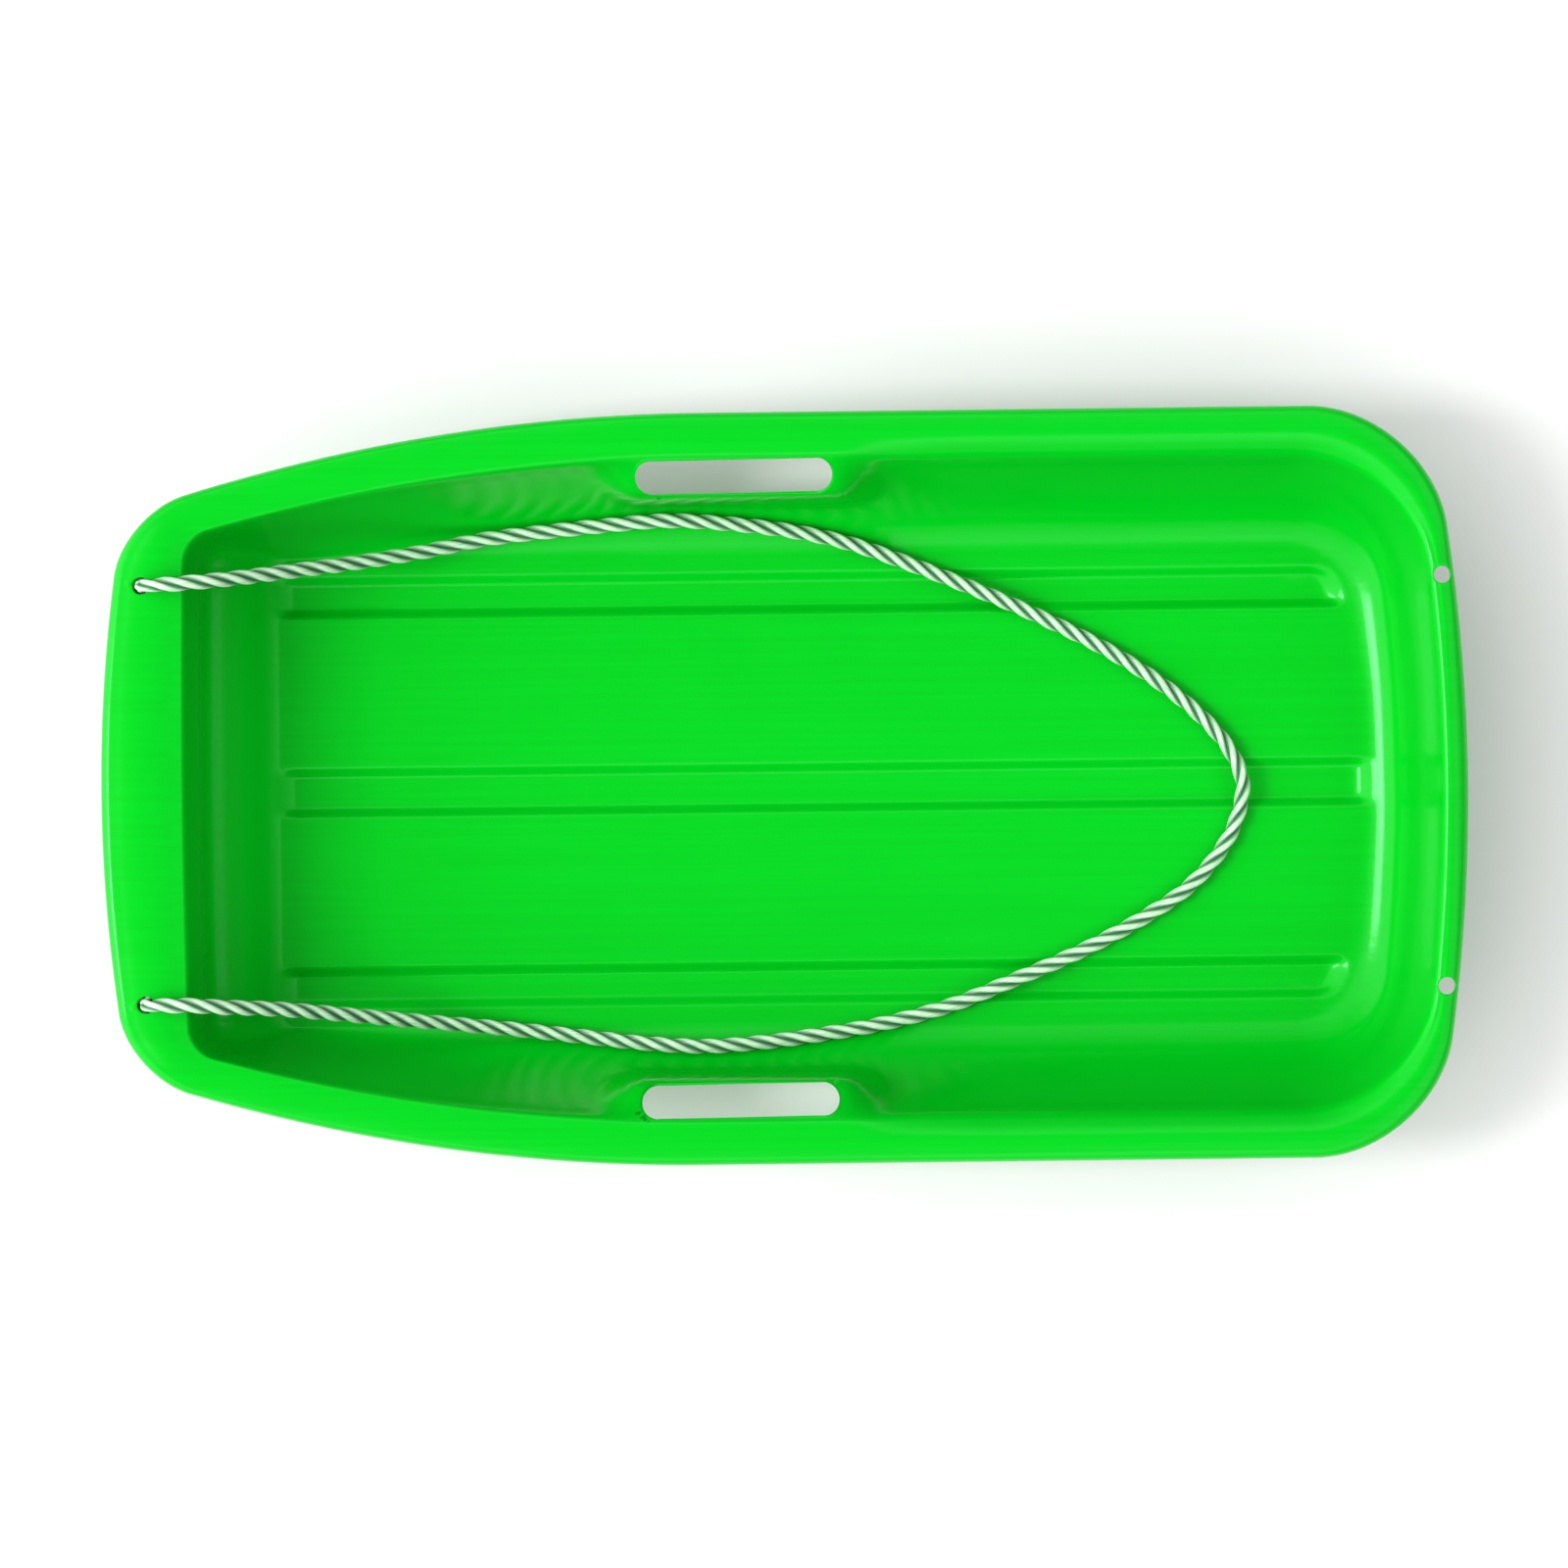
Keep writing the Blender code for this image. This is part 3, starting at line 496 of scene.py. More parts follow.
@dataclass(frozen=True)
class Piercing:
    """A hole cut straight down through the moulding, round or with straight sides.

    Its edges are rounded over where it meets the surface.
    """

    centre: Pair
    radius: float
    straight: float = 0.0
    rounding: float = 0.0007
    margin: float = 0.0014
    rings: int = 3
    even_rounds: int = 12

    def outline(self, place: float, grown: float) -> Vector:
        """Point on the outline.

        Args:
            place: 0 to 1 round the outline.
            grown: how far outside the hole's own edge the outline runs.

        Returns:
            The point, seen from above.
        """
        radius, half = self.radius + grown, self.straight / 2
        arc = math.pi * radius
        at = (place % 1.0) * 2 * (arc + self.straight)
        side = 1.0
        if at > arc + self.straight:
            at, side = at - arc - self.straight, -1.0
        angle = at / radius - math.pi / 2
        found = (Vector((half + radius * math.cos(angle), radius * math.sin(angle)))
                 if at < arc else Vector((half - (at - arc), radius)))
        return Vector(self.centre) + found * side

    def distance(self, spot: Vector) -> float:
        """Distance of a point, seen from above, from the hole's middle line."""
        offset = spot.xy - Vector(self.centre)
        return math.hypot(max(0.0, abs(offset.x) - self.straight / 2), offset.y)

    def place(self, spot: Vector) -> float:
        """Place on the outline that is nearest to a point.

        Args:
            spot: the point.

        Returns:
            The place, 0 to 1 round the outline.
        """
        offset = spot.xy - Vector(self.centre)
        half, arc = self.straight / 2, math.pi * self.radius
        total = 2 * (arc + self.straight)
        if abs(offset.x) <= half:
            near, along = ((arc, -offset.x) if offset.y > 0
                           else (2 * arc + self.straight, offset.x))
            return (near + half + along) / total
        side = 1.0 if offset.x > 0 else -1.0
        angle = math.atan2(offset.y * side, (offset.x - side * half) * side)
        at = (angle + math.pi / 2) * self.radius
        return ((at + (0.0 if side > 0 else arc + self.straight)) / total) % 1.0


@dataclass
class Moulding:
    """The one-piece shell: floor, runners, walls, slot pads, rim, lip and holes.

    It follows the same sizes as the CAD solid, with smaller steps and rounded edges. A place
    on the skin is (u, v), as in PlanLoop. A wall section is a list of (run in from the rim,
    drop below it), from the rim down to the floor.
    """

    thickness: float = 0.0022
    floor_length: float = 0.681
    floor_width: float = 0.294
    floor_tail_corner: float = 0.028
    floor_nose_lift: float = 0.004
    floor_lift_length: float = 0.160
    corner_fade: float = 1.6
    runner_depth: float = 0.006
    runner_flank: float = 0.0055
    runner_rounding: float = 0.0016
    centre_runner: float = 0.031
    outer_runner: float = 0.0265
    runner_margin: float = 0.01025
    runner_end_slope: float = 0.014
    runner_nose_gap: float = -0.006
    runner_tail_gap: float = -0.010
    outer_tail_gap: float = -0.007
    waviness: float = 0.0004
    wave_length: float = 0.045
    nose_draft: float = 0.0095
    shelf_run: float = 0.018
    step_run: float = 0.026
    side_run: float = 0.059
    tail_run: float = 0.0436
    rim_height: float = 0.110
    nose_lift: float = 0.008
    nose_lift_length: float = 0.330
    edge_radius: float = 0.004
    edge_turn: float = math.radians(80.0)
    soft_radius: float = 0.018
    soft_from: float = 0.0
    soft_length: float = 0.120
    shelf_height: float = 0.032
    shelf_drop: float = 0.007
    shelf_fillet: float = 0.010
    nose_middle: Pair = (0.75, 0.55)
    step_shape: tuple[Pair, ...] = (
        (0.30, 0.32), (0.55, 0.68), (0.78, 0.91), (1.0, 1.0))
    side_sweep: float = math.radians(64.0)
    tail_foot: float = 0.030
    nose_rim: float = 0.0475
    side_rim: float = 0.0248
    tail_rim: float = 0.0124
    nose_crown: float = 0.0020
    side_crown: float = 0.0008
    crown_width: float = 0.012
    lip_roll: float = 0.0065
    tail_lip_roll: float = 0.010
    lip_drop: float = 0.013
    lip_round_share: float = 0.8
    nose_taper: float = 0.0645
    slot_length: float = 0.120
    slot_width: float = 0.0175
    slot_from_rim: float = 0.0050
    slot_x: float = 0.030
    slot_rounding: float = 0.0015
    pad_margin: float = 0.0035
    pad_slope: float = math.radians(48.0)
    pad_draft: float = math.radians(3.0)
    pad_fade: float = 0.034
    pad_end: float = 0.016
    pad_softness: int = 10
    rope_hole: float = 0.0105
    nose_hole_x: float = 0.3926
    nose_hole_y: float = 0.128
    tail_hole_y: float = 0.126
    tail_hole_edge: float = 0.0085
    tail_hole_margin: float = 0.0009
    hole_reach: float = 0.010
    hole_lines: int = 9
    length_steps: tuple[int, ...] = (14, 20, 8, 7, 16, 7, 8, 24, 14)
    width_step: float = 0.006
    least_width_step: float = 0.0006
    edge_steps: int = 2
    shelf_steps: int = 5
    flat_steps: int = 3
    fine: int = 4
    roll_steps: int = 8
    band_steps: int = 8
    round_steps: int = 3
    unfold_rounds: int = 40
    fold_limit: float = 0.2
    rounding_share: float = 0.46
    facing_up: float = 0.1
    least_slope: float = 0.3
    least_gap: float = 1e-4
    sole_wear: float = 0.8
    lip_wear: float = 0.2
    lip_wear_width: float = 0.003
    flow_from: float = 0.6
    flow_fade: float = 0.35

    def __post_init__(self) -> None:
        """Works out the sizes that follow from the others."""
        self.floor_z = self.thickness + self.runner_depth
        self.depth = self.rim_height - self.floor_z
        self.nose_run = self.nose_draft + self.shelf_run + self.step_run
        self.half_length = (self.floor_length + self.nose_run + self.tail_run
                            + self.nose_rim + self.tail_rim) / 2
        self.floor_nose = self.half_length - self.nose_rim - self.nose_run
        half = self.floor_width / 2
        self.runner_y = half - self.runner_margin - self.outer_runner / 2
        self.runners = ((0.0, self.centre_runner, self.runner_tail_gap),
                        (self.runner_y, self.outer_runner, self.outer_tail_gap))
        self.pad_run = self.slot_from_rim + self.slot_width + self.pad_margin
        self.pad_drop = self.pad_run * math.tan(self.pad_slope)
        self.pad_half = self.slot_length / 2 + self.pad_margin
        self.wall_steps = self.edge_steps + self.shelf_steps + len(self.step_shape)
        end = self.half_length
        self.floor = PlanLoop(
            self.floor_nose, self.floor_nose - self.floor_length, half, nose_corner=0.010,
            tail_corner=self.floor_tail_corner, nose_bow=0.0, tail_bow=0.022, taper=0.0,
            taper_end=end)
        self.inner = PlanLoop(
            end - self.nose_rim, self.tail_rim - end, half + self.side_run, nose_corner=0.015,
            tail_corner=0.074, nose_bow=0.002, tail_bow=0.017, taper=self.nose_taper,
            taper_end=end)
        self.outer = PlanLoop(
            end, -end, half + self.side_run + self.side_rim, nose_corner=0.037,
            tail_corner=0.073, nose_bow=0.015, tail_bow=0.024, taper=self.nose_taper,
            taper_end=end)
        soft_slope = math.asin(self.shoulder_reach(self.soft_radius) / self.soft_radius)
        self.sections = {
            "side": self.as_shares(self.side_section(self.edge_radius), self.side_run),
            "soft": self.as_shares(self.side_section(self.soft_radius, soft_slope),
                                   self.side_run, soft_slope),
            "pad": self.softened(self.as_shares(self.pad_section(), self.side_run)),
            "nose": self.as_shares(self.nose_section(), self.nose_run),
            "tail": self.as_shares(self.tail_section(), self.tail_run)}
        self.wall_levels = len(self.sections["side"]) - 1

    # Heights and depths

    def rounded_ramp(self, value: float, rounding: float) -> float:
        """A ramp that starts from level at 0, rounded over to each side of it."""
        eased = max(0.0, min(value, rounding) + rounding)
        return eased ** 2 / (4 * rounding) + max(0.0, value - rounding)

    def groove(self, x: float, y: float) -> float:
        """Depth of the runner grooves below the floor's own surface.

        Args:
            x: place along the sled.
            y: place across it.

        Returns:
            The depth in metres.
        """
        rounding = self.runner_rounding / self.runner_flank
        corner = self.floor_tail_corner
        beyond = max(0.0, abs(y) - (self.floor_width / 2 - corner))
        tail_x = (self.floor.edge_x(y, End.TAIL)
                  + (corner - math.sqrt(max(0.0, corner ** 2 - beyond ** 2))))
        depth = 0.0
        for centre, width, gap in self.runners:
            inside = (width / 2 - abs(abs(y) - centre)) / self.runner_flank
            depth = max(depth, (self.rounded_ramp(inside, rounding)
                                - self.rounded_ramp(inside - 1.0, rounding))
                        * smooth((x - tail_x - gap) / self.runner_end_slope))
        from_nose = (self.floor_nose - self.runner_nose_gap) - x
        return self.runner_depth * depth * smooth(from_nose / self.runner_end_slope)

    def floor_top(self, x: float) -> float:
        """Height of the floor's surface, which lifts a little towards the nose."""
        ahead = max(0.0, x - (self.floor_nose - self.floor_lift_length))
        return self.floor_z + self.floor_nose_lift * (ahead / self.floor_lift_length) ** 2

    def rim_top(self, x: float) -> float:
        """Height of the rim's band, which lifts towards the nose."""
        ahead = max(0.0, x - (self.half_length - self.nose_lift_length))
        return self.rim_height + self.nose_lift * (ahead / self.nose_lift_length) ** 2

    def softness(self, x: float) -> float:
        """How far the rim's inner edge is rounded over at x: not at all ahead of the slots."""
        return smooth((self.soft_from - x) / self.soft_length)

    def pad_share(self, x: float) -> float:
        """How far the wall at x has the shape of a hand slot's pad."""
        return smooth(1.0 - (abs(x - self.slot_x) - self.pad_half) / self.pad_fade)

    def shoulder_reach(self, radius: float) -> float:
        """How far a wider rounding of the rim's inner edge starts out on the band."""
        return (radius - self.edge_radius) * math.tan(self.edge_turn / 2)

    def shoulder_drop(self, out: float, radius: float) -> float:
        """Drop of that rounding below the band, at a distance out from the inner edge."""
        inside = max(0.0, self.shoulder_reach(radius) - out)
        return radius - math.sqrt(radius ** 2 - inside ** 2)

    # Wall sections

    def shoulder(self, radius: float, start: float, end: float) -> Pairs:
        """Points over the rim's inner edge, from one slope to another."""
        reach = self.shoulder_reach(radius)
        return [(radius * math.sin(angle) - reach, radius * (1 - math.cos(angle)))
                for angle in spread(start, end, self.edge_steps)]

    def side_section(self, radius: float, start: float = 0.0) -> Pairs:
        """Side wall, which curves out of the floor along part of an ellipse.

        Args:
            radius: rounding of the rim's inner edge.
            start: slope that the rounding starts at.

        Returns:
            The section.
        """
        edge = self.shoulder(radius, start, self.edge_turn)
        run, drop = self.side_run - edge[-1][0], self.depth - edge[-1][1]
        full = self.side_sweep
        return edge[:-1] + [
            (self.side_run - run * math.sin(angle) / math.sin(full),
             self.depth - drop * (1 - math.cos(angle)) / (1 - math.cos(full)))
            for angle in spread(full, 0.0, self.wall_steps - self.edge_steps)]

    def straight_wall(self, start: Pair, end: Pair) -> Pairs:
        """Evenly spaced points of a straight wall."""
        return [(start[0] + (end[0] - start[0]) * share, start[1] + (end[1] - start[1]) * share)
                for share in spread(0.0, 1.0, self.flat_steps)]

    def pad_section(self) -> Pairs:
        """Side wall at a hand slot: the sloping pad stands proud of the wall's upper half.

        Returns:
            The section.
        """
        edge = self.shoulder(self.edge_radius, 0.0, self.pad_slope)
        side = self.side_section(self.edge_radius)[self.edge_steps + self.flat_steps + 1:]
        below = [(max(run, self.pad_run + (drop - self.pad_drop) * math.tan(self.pad_draft)),
                  drop) for run, drop in side]
        return edge[:-1] + self.straight_wall(edge[-1], (self.pad_run, self.pad_drop)) + below

    def tail_section(self) -> Pairs:
        """Rear wall: a round foot, then a straight wall that touches it.

        Returns:
            The section.
        """
        edge = self.shoulder(self.edge_radius, 0.0, self.edge_turn)
        run, rise = self.tail_run - edge[-1][0], self.depth - edge[-1][1] - self.tail_foot
        slope = math.atan2(rise, run) + math.asin(self.tail_foot / math.hypot(run, rise))
        foot = [(self.tail_run - self.tail_foot * math.sin(angle),
                 self.depth - self.tail_foot * (1 - math.cos(angle)))
                for angle in spread(slope, 0.0,
                                    self.wall_steps - self.edge_steps - self.flat_steps)]
        return edge[:-1] + self.straight_wall(edge[-1], foot[0])[:-1] + foot

    def nose_section(self) -> Pairs:
        """Front wall: a steep wall, a shelf at its foot, and a step down to the floor.

        Returns:
            The section.
        """
        shelf_top = self.depth - self.shelf_height
        shelf_end = shelf_top + self.shelf_drop
        foot = shelf_top - self.shelf_fillet
        step_start = self.nose_draft + self.shelf_run
        half_turn = self.shelf_fillet * (1 - math.cos(math.pi / 4))
        return self.shoulder(self.edge_radius, 0.0, self.edge_turn) + [
            (self.nose_draft * self.nose_middle[0], foot * self.nose_middle[1]),
            (self.nose_draft, foot),
            (self.nose_draft + half_turn, shelf_top - half_turn),
            (self.nose_draft + self.shelf_fillet, shelf_top),
            (step_start, shelf_end)] + [
            (step_start + self.step_run * run, shelf_end + (self.depth - shelf_end) * fall)
            for run, fall in self.step_shape]

    def as_shares(self, section: Pairs, run: float, slope: float = 0.0) -> Pairs:
        """A wall section drawn smoothly, as shares of its run and of its drop.

        Args:
            section: the section.
            run: the wall's run seen from above.
            slope: angle that it starts at, below level.

        Returns:
            The points between each two, with all of the given ones among them.
        """
        points = [Vector(pair) for pair in section]
        gaps = [(b - a).length for a, b in zip(points, points[1:])]
        slopes = [(b - a) / gap for a, b, gap in zip(points, points[1:], gaps)]
        tangents = [Vector((math.cos(slope), math.sin(slope)))] + [
            (slope_in * before + slope_out * after) / (before + after)
            for slope_in, slope_out, before, after in zip(slopes, slopes[1:], gaps, gaps[1:])
        ] + [Vector((1.0, 0.0))]
        found = [points[index] * (2 * t ** 3 - 3 * t ** 2 + 1)
                 + tangents[index] * gap * (t ** 3 - 2 * t ** 2 + t)
                 + points[index + 1] * (3 * t ** 2 - 2 * t ** 3)
                 + tangents[index + 1] * gap * (t ** 3 - t ** 2)
                 for index, gap in enumerate(gaps) for t in spread(0.0, 1.0, self.fine)[:-1]]
        return [(spot.x / run, spot.y / self.depth) for spot in found + points[-1:]]

    def softened(self, section: Pairs) -> Pairs:
        """A section with its corners smoothed.

        Args:
            section: the section.

        Returns:
            The smoothed section, with its two ends kept.
        """
        for _ in range(self.pad_softness):
            section = [section[0]] + [
                tuple((a + 2 * b + c) / 4 for a, b, c in zip(*three))
                for three in zip(section, section[1:], section[2:])] + [section[-1]]
        return section

    # Places on the surface

    def straight_spot(self, at: Pair) -> Vector:
        """Place (u, v) in a floor with sharp corners, seen from above."""
        y, x = at[1] * self.floor.half_width, self.floor.nose_x
        return Vector((x + (self.floor.edge_x(y, End.TAIL) - x) * at[0], y))

    def floor_spot(self, at: Pair) -> Vector:
        """Place of a floor vertex: straight lines, drawn in where the outline's corners are.

        Args:
            at: the place (u, v).

        Returns:
            The place in metres.
        """
        side, end = math.copysign(1.0, at[1]), End.NOSE if at[0] < 0.5 else End.TAIL
        corner = self.corner_fade * self.floor.corner_size(end)
        near_end = smooth(1.0 - abs(at[0] - end.value) * self.floor_length / corner)
        near_side = smooth(1.0 - (1.0 - abs(at[1])) * self.floor.half_width / corner)
        spot = self.straight_spot(at)
        for share, edge in ((near_end, (end.value, at[1])), (near_side, (at[0], side)),
                            (-near_end * near_side, (end.value, side))):
            if share:
                spot += share * (self.floor.point(edge) - self.straight_spot(edge))
        return Vector((*spot, self.floor_top(spot.x) - self.groove(*spot)))

    def wall_spot(self, at: Pair, level: int) -> Vector:
        """Place of a wall vertex.

        Args:
            at: the place (u, v) on the square's edge.
            level: steps out from the floor's edge.

        Returns:
            The place in metres.
        """
        low, high = self.floor.point(at), self.inner.point(at)
        index = self.wall_levels - level
        along, fall = self.sections["side"][index]
        for name, share in (("soft", self.softness(high.x)), ("pad", self.pad_share(high.x)),
                            ("nose", self.inner.end_share(at, End.NOSE)),
                            ("tail", self.inner.end_share(at, End.TAIL))):
            other = self.sections[name][index]
            along += (other[0] - along) * share
            fall += (other[1] - fall) * share
        spot, top = high.lerp(low, along), self.rim_top(high.x)
        height = top - (top - self.floor_top(low.x)) * fall
        return Vector((*spot, height - self.groove(*spot)))

    def rim_spot(self, at: Pair, level: int) -> Vector:
        """Place of a rim vertex: across the band, over the rolled lip and down its side.

        Args:
            at: the place (u, v) on the square's edge.
            level: steps out from the rim's inner edge.

        Returns:
            The place in metres.
        """
        high, edge = self.inner.point(at), self.outer.point(at)
        width = (edge - high).length
        nose_share, tail_share = (self.inner.end_share(at, end) for end in End)
        roll = self.lip_roll + (self.tail_lip_roll - self.lip_roll) * tail_share
        crown = self.side_crown + (self.nose_crown - self.side_crown) * nose_share
        crown *= min(1.0, (width - roll) / self.crown_width)
        across, rise = 0.0, self.thickness / 2 - self.lip_drop
        if level <= self.band_steps:
            share = level / self.band_steps
            across = width - (width - roll) * share
            soft = (self.softness(high.x) * (1.0 - self.pad_share(high.x))
                    * (1.0 - nose_share) * (1.0 - tail_share))
            rise = (crown * 4 * share * (1.0 - share)
                    - soft * self.shoulder_drop(width - across, self.soft_radius))
        elif level <= self.band_steps + self.roll_steps:
            turn = (level - self.band_steps) / self.roll_steps * math.pi / 2
            across = roll * (1.0 - math.sin(turn))
            rise = min(roll, self.lip_drop * self.lip_round_share) * (math.cos(turn) - 1.0)
        spot = edge.lerp(high, across / width)
        return Vector((*spot, self.rim_top(spot.x) + rise))

    # The mesh

    def piercings(self) -> list[Piercing]:
        """The two hand slots and the four rope holes.

        Returns:
            The holes, in the order in which they are cut.
        """
        slot_y = self.inner.side_y(self.slot_x) - self.slot_from_rim - self.slot_width / 2
        tail_x = self.outer.edge_x(self.tail_hole_y, End.TAIL) + self.tail_hole_edge
        return [hole for side in (1.0, -1.0) for hole in (
            Piercing((self.slot_x, side * slot_y), self.slot_width / 2,
                     self.slot_length - self.slot_width, self.slot_rounding),
            Piercing((self.nose_hole_x, side * self.nose_hole_y), self.rope_hole / 2),
            Piercing((tail_x, side * self.tail_hole_y), self.rope_hole / 2,
                     margin=self.tail_hole_margin))]

    def length_lines(self) -> list[float]:
        """Fractions of the length where the mesh has a line across.

        Returns:
            Values of u, from 0 to 1.
        """
        nose = self.outer.nose_corner / self.outer.length()
        tail = 1.0 - self.outer.tail_corner / self.outer.length()
        length = self.inner.length()
        middle = (self.inner.corner_x(0.0) - self.slot_x) / length
        half, end, fade = (size / length for size in (self.pad_half, self.pad_end,
                                                      self.pad_fade))
        stops = [0.0, nose, middle - half - fade, middle - half, middle - half + end,
                 middle + half - end, middle + half, middle + half + fade, tail, 1.0]
        return [line for start, finish, steps in zip(stops, stops[1:], self.length_steps)
                for line in spread(start, finish, steps)[:-1]] + [1.0]

    def width_lines(self) -> list[float]:
        """Shares of the floor's half width where the mesh has a line along.

        Returns:
            Values of v, from -1 to 1, close together at the runners' flanks and at the holes.
        """
        half, flank, rounding = self.floor_width / 2, self.runner_flank, self.runner_rounding
        bends = [foot + rounding * share for foot in (0.0, flank)
                 for share in spread(-1.0, 1.0, 4)]
        lines = {half} | {centre + side * width / 2 - side * step
                          for centre, width, _ in self.runners for side in (-1.0, 1.0)
                          for step in bends}
        for y, full in ((self.tail_hole_y, self.outer.half_width),
                        (self.nose_hole_y, self.outer.end_y(End.NOSE))):
            around = self.hole_reach / full
            lines |= {half * share for share in spread(y / full - around, y / full + around,
                                                       self.hole_lines)}
        lines = sorted(line for line in lines if 0.0 < line <= half)
        kept = lines[:1]
        for line in lines[1:]:
            if line - kept[-1] > self.least_width_step:
                kept.append(line)
        filled = [0.0]
        for line in kept:
            filled += spread(filled[-1], line,
                             max(1, math.ceil((line - filled[-1]) / self.width_step)))[1:]
        shares = [line / half for line in filled[1:-1]] + [1.0]
        return [-share for share in reversed(shares)] + [0.0] + shares

    def skin(self) -> bmesh.types.BMesh:
        """Upper surface: the floor's grid, drawn out ring by ring to the lip.

        Returns:
            The open skin, with its normals up.
        """
        u_lines, v_lines = self.length_lines(), self.width_lines()
        made = bmesh.new()
        square = made.verts.layers.float_vector.new("square")
        bmesh.ops.create_grid(made, x_segments=len(u_lines) - 1, y_segments=len(v_lines) - 1,
                              size=1.0)
        for vert in made.verts:
            u = u_lines[round((1.0 - vert.co.x) / 2.0 * (len(u_lines) - 1))]
            v = v_lines[round((vert.co.y + 1.0) / 2.0 * (len(v_lines) - 1))]
            vert[square] = (u, v, 0.0)
            vert.co = self.floor_spot((u, v))
        ring = [edge for edge in made.edges if edge.is_boundary]
        for level in range(1, self.wall_levels + self.band_steps + self.roll_steps + 2):
            grown = bmesh.ops.extrude_edge_only(made, edges=ring)["geom"]
            for vert in (item for item in grown if isinstance(item, bmesh.types.BMVert)):
                at, beyond = vert[square].xy, level - self.wall_levels
                vert.co = self.rim_spot(at, beyond) if beyond > 0 else self.wall_spot(at, level)
            ring = [item for item in grown
                    if isinstance(item, bmesh.types.BMEdge) and item.is_boundary]
        for vert in made.verts:
            above_soles = smooth((vert.co.z - self.thickness) / self.runner_depth)
            vert.co.z += self.waviness * above_soles * noise.noise(vert.co / self.wave_length)
        bmesh.ops.recalc_face_normals(made, faces=made.faces)
        if min(made.faces, key=lambda face: face.calc_center_median().z).normal.z < 0:
            bmesh.ops.reverse_faces(made, faces=made.faces)
        return made

    def pierce(self, mesh: bmesh.types.BMesh, hole: Piercing, uncut: BVHTree,
               upright: bmesh.types.BMLayerItem) -> None:
        """Opens a hole in the skin, with rings of faces round it that lie on the skin.

        Args:
            mesh: the skin.
            hole: the hole.
            uncut: the skin as it was before any hole.
            upright: layer that says how straight down the wall is taken at a vertex.
        """
        reach = hole.radius + hole.rounding + hole.margin
        gone = [face for face in mesh.faces if face.normal.z > self.facing_up and min(
            hole.distance(vert.co) for vert in face.verts) < reach]
        loop = self.ordered({edge for face in gone for edge in face.edges
                             if any(other not in gone for other in edge.link_faces)})
        bmesh.ops.delete(mesh, geom=gone, context="FACES")
        places = [hole.place(vert.co) for vert in loop]
        if sum(((b - a + 0.5) % 1.0) - 0.5 for a, b in zip(places, places[1:])) < 0:
            loop.reverse()
            places.reverse()
        count = len(places)
        for index in range(1, count):
            places[index] = places[index - 1] + (
                (places[index] - places[index - 1] + 0.5) % 1.0 - 0.5)
        for _ in range(hole.even_rounds):
            places = [(places[i - 1] - (1.0 if i == 0 else 0.0) + places[i]
                       + places[(i + 1) % count] + (1.0 if i == count - 1 else 0.0)) / 3
                      for i in range(count)]
        outer = loop
        for ring in range(hole.rings - 1, -1, -1):
            share, inner = ring / hole.rings, []
            for vert, place in zip(loop, places):
                spot = hole.outline(place, hole.rounding).lerp(vert.co.xy, share)
                inner.append(mesh.verts.new(
                    uncut.ray_cast(Vector((*spot, 1.0)), Vector((0.0, 0.0, -1.0)))[0]))
                inner[-1][upright] = 1.0 - share
            for index in range(count):
                after = (index + 1) % count
                mesh.faces.new((outer[index], outer[after], inner[after], inner[index]))
            outer = inner

    def ordered(self, edges: set[bmesh.types.BMEdge]) -> list[bmesh.types.BMVert]:
        """Vertices of a closed loop of edges.

        Args:
            edges: the loop's edges, which are used up.

        Returns:
            The vertices in order round it.
        """
        edge = min(edges, key=lambda item: item.index)
        edges.discard(edge)
        loop = list(edge.verts)
        while edges:
            edge = next(item for item in loop[-1].link_edges if item in edges)
            edges.discard(edge)
            loop.append(edge.other_vert(loop[-1]))
        return loop[:-1]

    def straight_down(self, vert: bmesh.types.BMVert) -> Vector:
        """The wall's thickness taken straight down at a vertex of the skin."""
        return Vector((0.0, 0.0, -self.thickness / max(self.least_slope, vert.normal.z)))

    def thicken(self, mesh: bmesh.types.BMesh, holes: list[Piercing],
                upright: bmesh.types.BMLayerItem) -> None:
        """Gives the skin its thickness, with rounded edges at the lip and at each hole.

        Args:
            mesh: the skin, which becomes the whole shell.
            holes: the holes in it.
            upright: layer that says how straight down the wall is taken at a vertex.
        """
        mesh.normal_update()
        edges, rim = ([item for item in items if item.is_boundary]
                      for items in (mesh.edges, mesh.verts))
        faces = list(mesh.faces)
        under = {vert: mesh.verts.new(vert.co + (-vert.normal * self.thickness).lerp(
            self.straight_down(vert), vert[upright])) for vert in list(mesh.verts)}
        self.unfold(faces, under, upright)
        for face in faces:
            mesh.faces.new([under[vert] for vert in reversed(face.verts)])
        chains = {vert: [vert] + [
            mesh.verts.new(spot) for spot in self.edge_round(vert.co, under[vert].co, (
                min(holes, key=lambda hole: hole.distance(vert.co))
                if vert[upright] > 0.5 else None))] + [under[vert]]
            for vert in rim}
        for edge in edges:
            one, other = (chains[vert] for vert in edge.verts)
            for corners in zip(one, one[1:], other[1:], other):
                mesh.faces.new(corners)
        bmesh.ops.recalc_face_normals(mesh, faces=mesh.faces)

